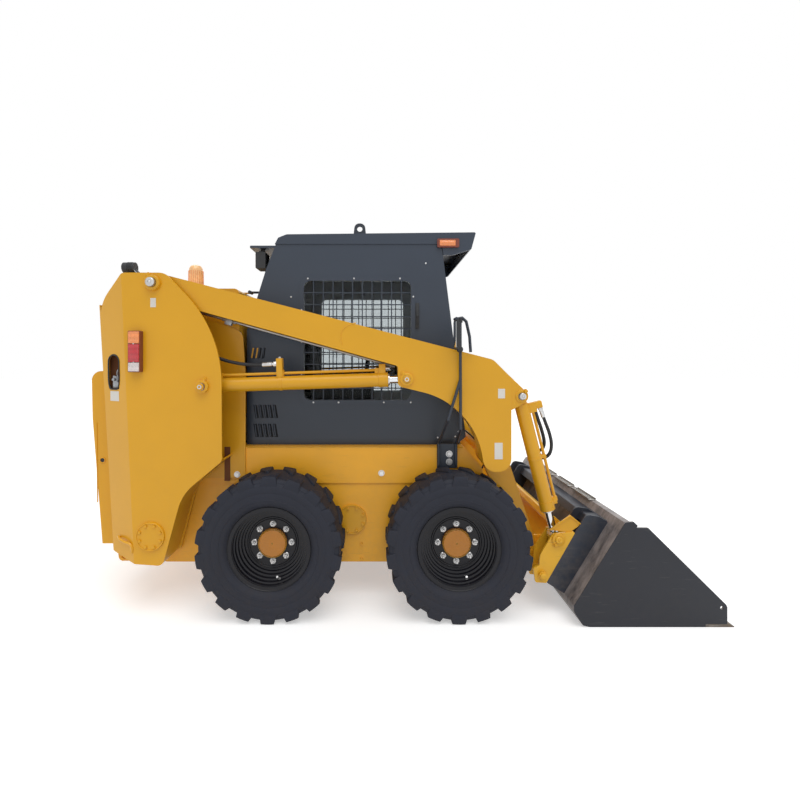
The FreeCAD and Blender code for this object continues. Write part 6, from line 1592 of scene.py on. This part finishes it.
class LOADER_OT_front_door(bpy.types.Operator):
    """Adds the front door's glass seal, handle and wiper"""
    bl_idname = "loader.front_door_trim"
    bl_label = "Front Door Trim"

    def seal(self):
        low, high = node_box("front_door_glass")
        corners = [(low.y, low.z), (high.y, low.z), (high.y, high.z), (low.y, high.z)]
        route = []
        for (y0, z0), (y1, z1) in zip(corners, corners[1:] + corners[:1]):
            for part in (0.06, 0.5, 0.94):
                y, z = y0 + (y1 - y0) * part, z0 + (z1 - z0) * part
                route.append((door_face(z, 0.001), y, z))
        seal = hose("seal", route, 0.006, 8, closed=True)
        finished(joined("front_door_seal", [seal]), "front_door", "Rubber Hose", 60)

    def handle(self, y):
        """A grab bar on two feet, over a small lock plate."""
        handle = joined("handle", [
            rod("bar", (door_face(1.3, 0.052), y, 1.3), (door_face(1.46, 0.052), y, 1.46), 0.008, 20, 0.003),
            rod("low", (door_face(1.315, 0.012), y, 1.315), (door_face(1.315, 0.054), y, 1.315), 0.007, 16),
            rod("high", (door_face(1.445, 0.012), y, 1.445), (door_face(1.445, 0.054), y, 1.445), 0.007, 16),
            box("plate", (door_face(1.24, 0.01), -0.412, 1.21), (door_face(1.24, 0.03), -0.382, 1.27), 0.003),
            turned("lock", [(0, 0), (0.011, 0), (0.011, 0.006), (0.009, 0.008), (0, 0.008)],
                   (door_face(1.24, 0.029), y, 1.24), FORWARD, 24)])
        finished(handle, "front_door", "Moulded Plastic")

    def wiper(self):
        lean = Vector((-DOOR_SLOPE, 0, 1.0)).normalized()
        pivot = Vector((door_face(DOOR_FOOT, 0.018), 0.0, DOOR_FOOT))
        tip = Vector((door_face(1.5, 0.014), -0.16, 1.5))
        way = (tip - pivot).normalized()
        arm = rod("arm", pivot, tip, 0.005, 12, 0.001, end_radius=0.003)
        hub = turned("hub", [(0, -0.016), (0.016, -0.016), (0.016, 0.004), (0.011, 0.01), (0, 0.01)], pivot,
                     FORWARD, 24)
        blade = box("blade", (-0.004, -0.0025, -0.22), (0.003, 0.0025, 0.22), 0.001, 1)
        turn = turned_to(UP, (way + lean * 0.4).normalized())
        blade = moved(blade, shift(tip - FORWARD * 0.006 - way * 0.02) @ turn)
        finished(joined("wiper", [arm, hub, blade]), "front_door", "Moulded Plastic")

    def execute(self, context):
        self.seal()
        self.handle(-0.397)
        self.wiper()
        return {"FINISHED"}


class LOADER_OT_hull_trim(bpy.types.Operator):
    """Adds the hull's bolts, drain plugs, a strip of painted shadow in the gap beside the tower, the top
    edges, and the rear hooks
    """
    bl_idname = "loader.hull_trim"
    bl_label = "Hull Trim"

    def execute(self, context):
        band_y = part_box("hull")[0][1]
        spots = ((-0.075, band_y, 0.725), (-0.911, -0.542, 0.72))
        heads = spread("bolts", bolt_head(0.024, 0.011, 1.5), [facing(spot, RIGHT, 0.4) for spot in spots])
        paired("hull_bolts", heads, "machine", "Bright Zinc")
        places = [facing((-0.191, -0.52, z), RIGHT, 0.2) for z in (0.308, 0.222)]
        plugs = spread("plugs", bolt_head(0.014, 0.007, 1.4), places)
        paired("hull_plugs", plugs, "machine", "Hull Paint With Painted Light")
        # a thin brown strip painted as the shadow in the gap between the tower's inner plate and the hull
        seam = side_plate("seam", [(-0.985, 0.682), (-0.951, 0.682), (-0.951, 0.88), (-0.985, 0.88)],
                          -0.541, -0.5432, 0.0004, 1)
        hook = hose("hook", [(-1.52, -0.69, 0.412), (-1.505, -0.712, 0.41), (-1.47, -0.728, 0.398),
                             (-1.432, -0.738, 0.392), (-1.418, -0.742, 0.372), (-1.42, -0.738, 0.345),
                             (-1.424, -0.722, 0.335)], 0.0075, 12)
        paired("rear_hooks", hook, "machine", "Yellow Paint")
        paired("hull_seams", seam, "machine", "Brown Painted Shade")
        edge = hose("edge", [(x, band_y - 0.0002, 0.8745) for x in (-0.94, -0.3, 0.4)], 0.0035, 8)
        paired("hull_edges", edge, "machine", "Yellow Paint")
        return {"FINISHED"}


class LOADER_OT_rear_trim(bpy.types.Operator):
    """Adds the rear door's lock, edge rod, handle and grille screen, and the engine cover's louvres"""
    bl_idname = "loader.rear_trim"
    bl_label = "Rear Trim"

    def execute(self, context):
        door_y = node_box("rear_door")[0].y
        lock_x, lock_z = -1.688, 0.804
        collar = turned("ring", [(0.0115, 0), (0.0115, 0.003), (0.0135, 0.006), (0.018, 0.004), (0.019, 0)],
                        (lock_x, door_y + 0.0005, lock_z), RIGHT, 32, ring=True)
        edge = rod("rod", (-1.716, door_y - 0.001, 0.56), (-1.722, door_y - 0.001, 1.02), 0.003, 12)
        finished(joined("rear_door_lock_ring", [collar, edge]), "rear_door", "Yellow Paint")
        barrel = turned("barrel", [(0, 0), (0.0115, 0), (0.0115, 0.0015), (0.006, 0.001), (0.0055, -0.0005),
                                   (0, -0.0005)], (lock_x, door_y - 0.0002, lock_z), RIGHT, 28)
        finished(barrel, "rear_door", "Moulded Plastic")
        handle = joined("handle", [
            box("dish", (-1.716, -0.47, 0.56), (-1.706, -0.37, 0.64), 0.004, 3),
            box("paddle", (-1.7235, -0.452, 0.578), (-1.714, -0.388, 0.622), 0.003)])
        finished(handle, "rear_door", "Moulded Plastic")
        low, high = node_box("rear_grille")
        edge = 0.004
        screen = box("screen", (high.x + 0.001, low.y + edge, low.z + edge),
                     (high.x + 0.004, high.y - edge, high.z - edge), 0.001, 1)
        finished(joined("grille_screen", [screen]), "rear_door", "Wire Screen")
        louvre = plate("louvre", [(0, -0.095, 0), (0.03, -0.095, 0), (0.03, 0.095, 0), (0, 0.095, 0)],
                       (0, 0, 0.012))
        pick(louvre, lambda face: face.normal.z > 0.9)
        bpy.ops.transform.resize(value=(0.45, 0.93, 1.0), center_override=(0.0, 0, 0.012))
        object_mode()
        bevelled(louvre, 0.003, 2)
        rows = [shift((-1.46 + 0.044 * number, y, 1.7995))
                for y in (-0.14, 0.14) for number in range(7)]
        finished(spread("hood_louvres", louvre, rows), "engine_hood", "Yellow Paint")
        return {"FINISHED"}


class LOADER_OT_engine(bpy.types.Operator):
    """Adds the engine's valve cover, muffler, air filter, fan, radiator and pipes round its block"""
    bl_idname = "loader.engine"
    bl_label = "Engine"

    def valve_cover(self, top):
        ribs = [box("rib", (x - 0.004, -0.098, top + 0.07), (x + 0.004, 0.098, top + 0.082), 0.002)
                for x in [-1.16 + 0.045 * number for number in range(11)]]
        cover = box("cover", (-1.195, -0.11, top - 0.001), (-0.68, 0.11, top + 0.072), 0.014, 3)
        cap = turned("cap", [(0, 0.06), (0.03, 0.06), (0.03, 0.09), (0.026, 0.096), (0, 0.097)],
                     (-0.76, 0.0, top), UP, 28)
        finished(joined("valve_cover", [cover, *ribs, cap]), "machine", "Cast Iron")

    def muffler(self, top):
        shell = turned("shell", [(0, -0.24), (0.075, -0.235), (0.085, -0.22), (0.085, 0.22), (0.075, 0.235),
                                 (0, 0.24)], (-0.94, -0.185, top + 0.17), FORWARD, 40)
        runners = [hose("runner", [(x, -0.105, top + 0.03), (x, -0.165, top + 0.035), (x, -0.185, top + 0.08),
                                   (x, -0.185, top + 0.1)], 0.02, 16) for x in (-1.1, -0.99, -0.88, -0.77)]
        finished(joined("muffler", [shell, *runners]), "machine", "Galvanised")

    def air_filter(self, top):
        end, radius = (-1.08, 0.19, top + 0.13), 0.08
        can = turned("can", [(0, 0), (0.07, 0), (radius, 0.012), (radius, 0.24), (0.072, 0.262),
                             (0.06, 0.262), (0.06, 0.3), (0, 0.3)], end, FORWARD, 40)
        straps = [turned("strap", [(radius, station), (0.084, station), (0.084, station + 0.018),
                                   (radius, station + 0.018)], end, FORWARD, 40, ring=True)
                  for station in (0.05, 0.18)]
        foot = box("foot", (-1.04, 0.12, top - 0.001), (-0.88, 0.24, top + 0.058), 0.006)
        finished(joined("air_filter", [can, *straps, foot]), "machine", "Moulded Plastic")

    def fan(self, front, z):
        """A hub with seven blades, which faces the radiator."""
        count = 7
        hub = turned("hub", [(0, 0), (0.055, 0), (0.055, 0.03), (0.04, 0.045), (0, 0.048)],
                     (front + 0.002, 0, z), -FORWARD, 32)
        blade = plate("blade", [(0, 0.045, -0.02), (-0.028, 0.05, 0.03), (-0.03, 0.195, 0.04),
                                (-0.006, 0.2, -0.03)], (0.003, 0, 0), 0.001, 1)
        blades = spread("blades", blade, [shift((front - 0.008, 0, z))
                                          @ Matrix.Rotation(2 * pi * number / count, 4, "X")
                                          for number in range(count)])
        finished(joined("fan", [hub, blades]), "machine", "Moulded Plastic")

    def radiator(self):
        core = box("core", (-1.5, -0.3, 0.33), (-1.43, 0.3, 1.08), 0.004)
        tanks = [box("tank", (-1.512, -0.31, z), (-1.418, 0.31, z + 0.055), 0.012, 3) for z in (0.29, 1.07)]
        neck = turned("neck", [(0, 0), (0.028, 0), (0.028, 0.02), (0.034, 0.022), (0.034, 0.036), (0, 0.038)],
                      (-1.465, 0.18, 1.124), UP, 24)
        fins = [box("fin", (-1.503, -0.298, z), (-1.427, 0.298, z + 0.003), 0.0008, 1)
                for z in [0.352 + 0.018 * number for number in range(40)]]
        finished(joined("radiator", [core, *tanks, neck, *fins]), "machine", "Cast Iron")

    def execute(self, context):
        low, high = node_box("engine_block")
        top = high.z
        self.valve_cover(top)
        self.muffler(top)
        self.air_filter(top)
        self.fan(low.x, 0.56)
        self.radiator()
        pipes = [hose("pipe", [(-1.42, 0.12, 1.095), (-1.34, 0.12, 1.095), (-1.26, 0.11, 1.04),
                               (-1.2, 0.06, top + 0.06), (-1.185, 0.05, top + 0.04)], 0.024, 16),
                 hose("pipe", [(-0.78, 0.19, top + 0.13), (-0.72, 0.19, top + 0.13),
                               (-0.69, 0.15, top + 0.09), (-0.7, 0.1, top + 0.04)], 0.03, 16)]
        finished(joined("engine_hoses", pipes), "machine", "Rubber Hose", 60)
        return {"FINISHED"}


STEPS = (LOADER_OT_finishes, LOADER_OT_stage, LOADER_OT_tyres, LOADER_OT_wheel_fittings,
         LOADER_OT_lamps, LOADER_OT_mirrors, LOADER_OT_seat, LOADER_OT_controls, LOADER_OT_pin_keepers,
         LOADER_OT_towers, LOADER_OT_arms, LOADER_OT_lift_cylinders, LOADER_OT_tilt_cylinders,
         LOADER_OT_coupler, LOADER_OT_bucket, LOADER_OT_cab_trim, LOADER_OT_front_door,
         LOADER_OT_hull_trim, LOADER_OT_rear_trim, LOADER_OT_engine)


# ---------------------------------------------------------------- registering
class LOADER_PT_panel(bpy.types.Panel):
    """Shows the loader's sizes and colours, and a button for each step"""
    bl_idname = "LOADER_PT_panel"
    bl_label = "Compact Wheel Loader"
    bl_space_type = "VIEW_3D"
    bl_region_type = "UI"
    bl_category = "Loader"

    def draw(self, context):
        for settings in (context.scene.loader_sizes, context.scene.loader_colours):
            column = self.layout.column(align=True)
            for name in settings.__annotations__:
                column.prop(settings, name)
        for step in STEPS:
            self.layout.operator(step.bl_idname)


CLASSES = (LoaderSizes, LoaderColours, *STEPS, LOADER_PT_panel)


def register():
    for item in CLASSES:
        bpy.utils.register_class(item)
    bpy.types.Scene.loader_sizes = bpy.props.PointerProperty(type=LoaderSizes)
    bpy.types.Scene.loader_colours = bpy.props.PointerProperty(type=LoaderColours)


def unregister():
    del bpy.types.Scene.loader_colours
    del bpy.types.Scene.loader_sizes
    for item in reversed(CLASSES):
        bpy.utils.unregister_class(item)


def main():
    register()
    for step in STEPS:
        group, name = step.bl_idname.split(".")
        getattr(getattr(bpy.ops, group), name)()


if __name__ == "__main__":
    main()
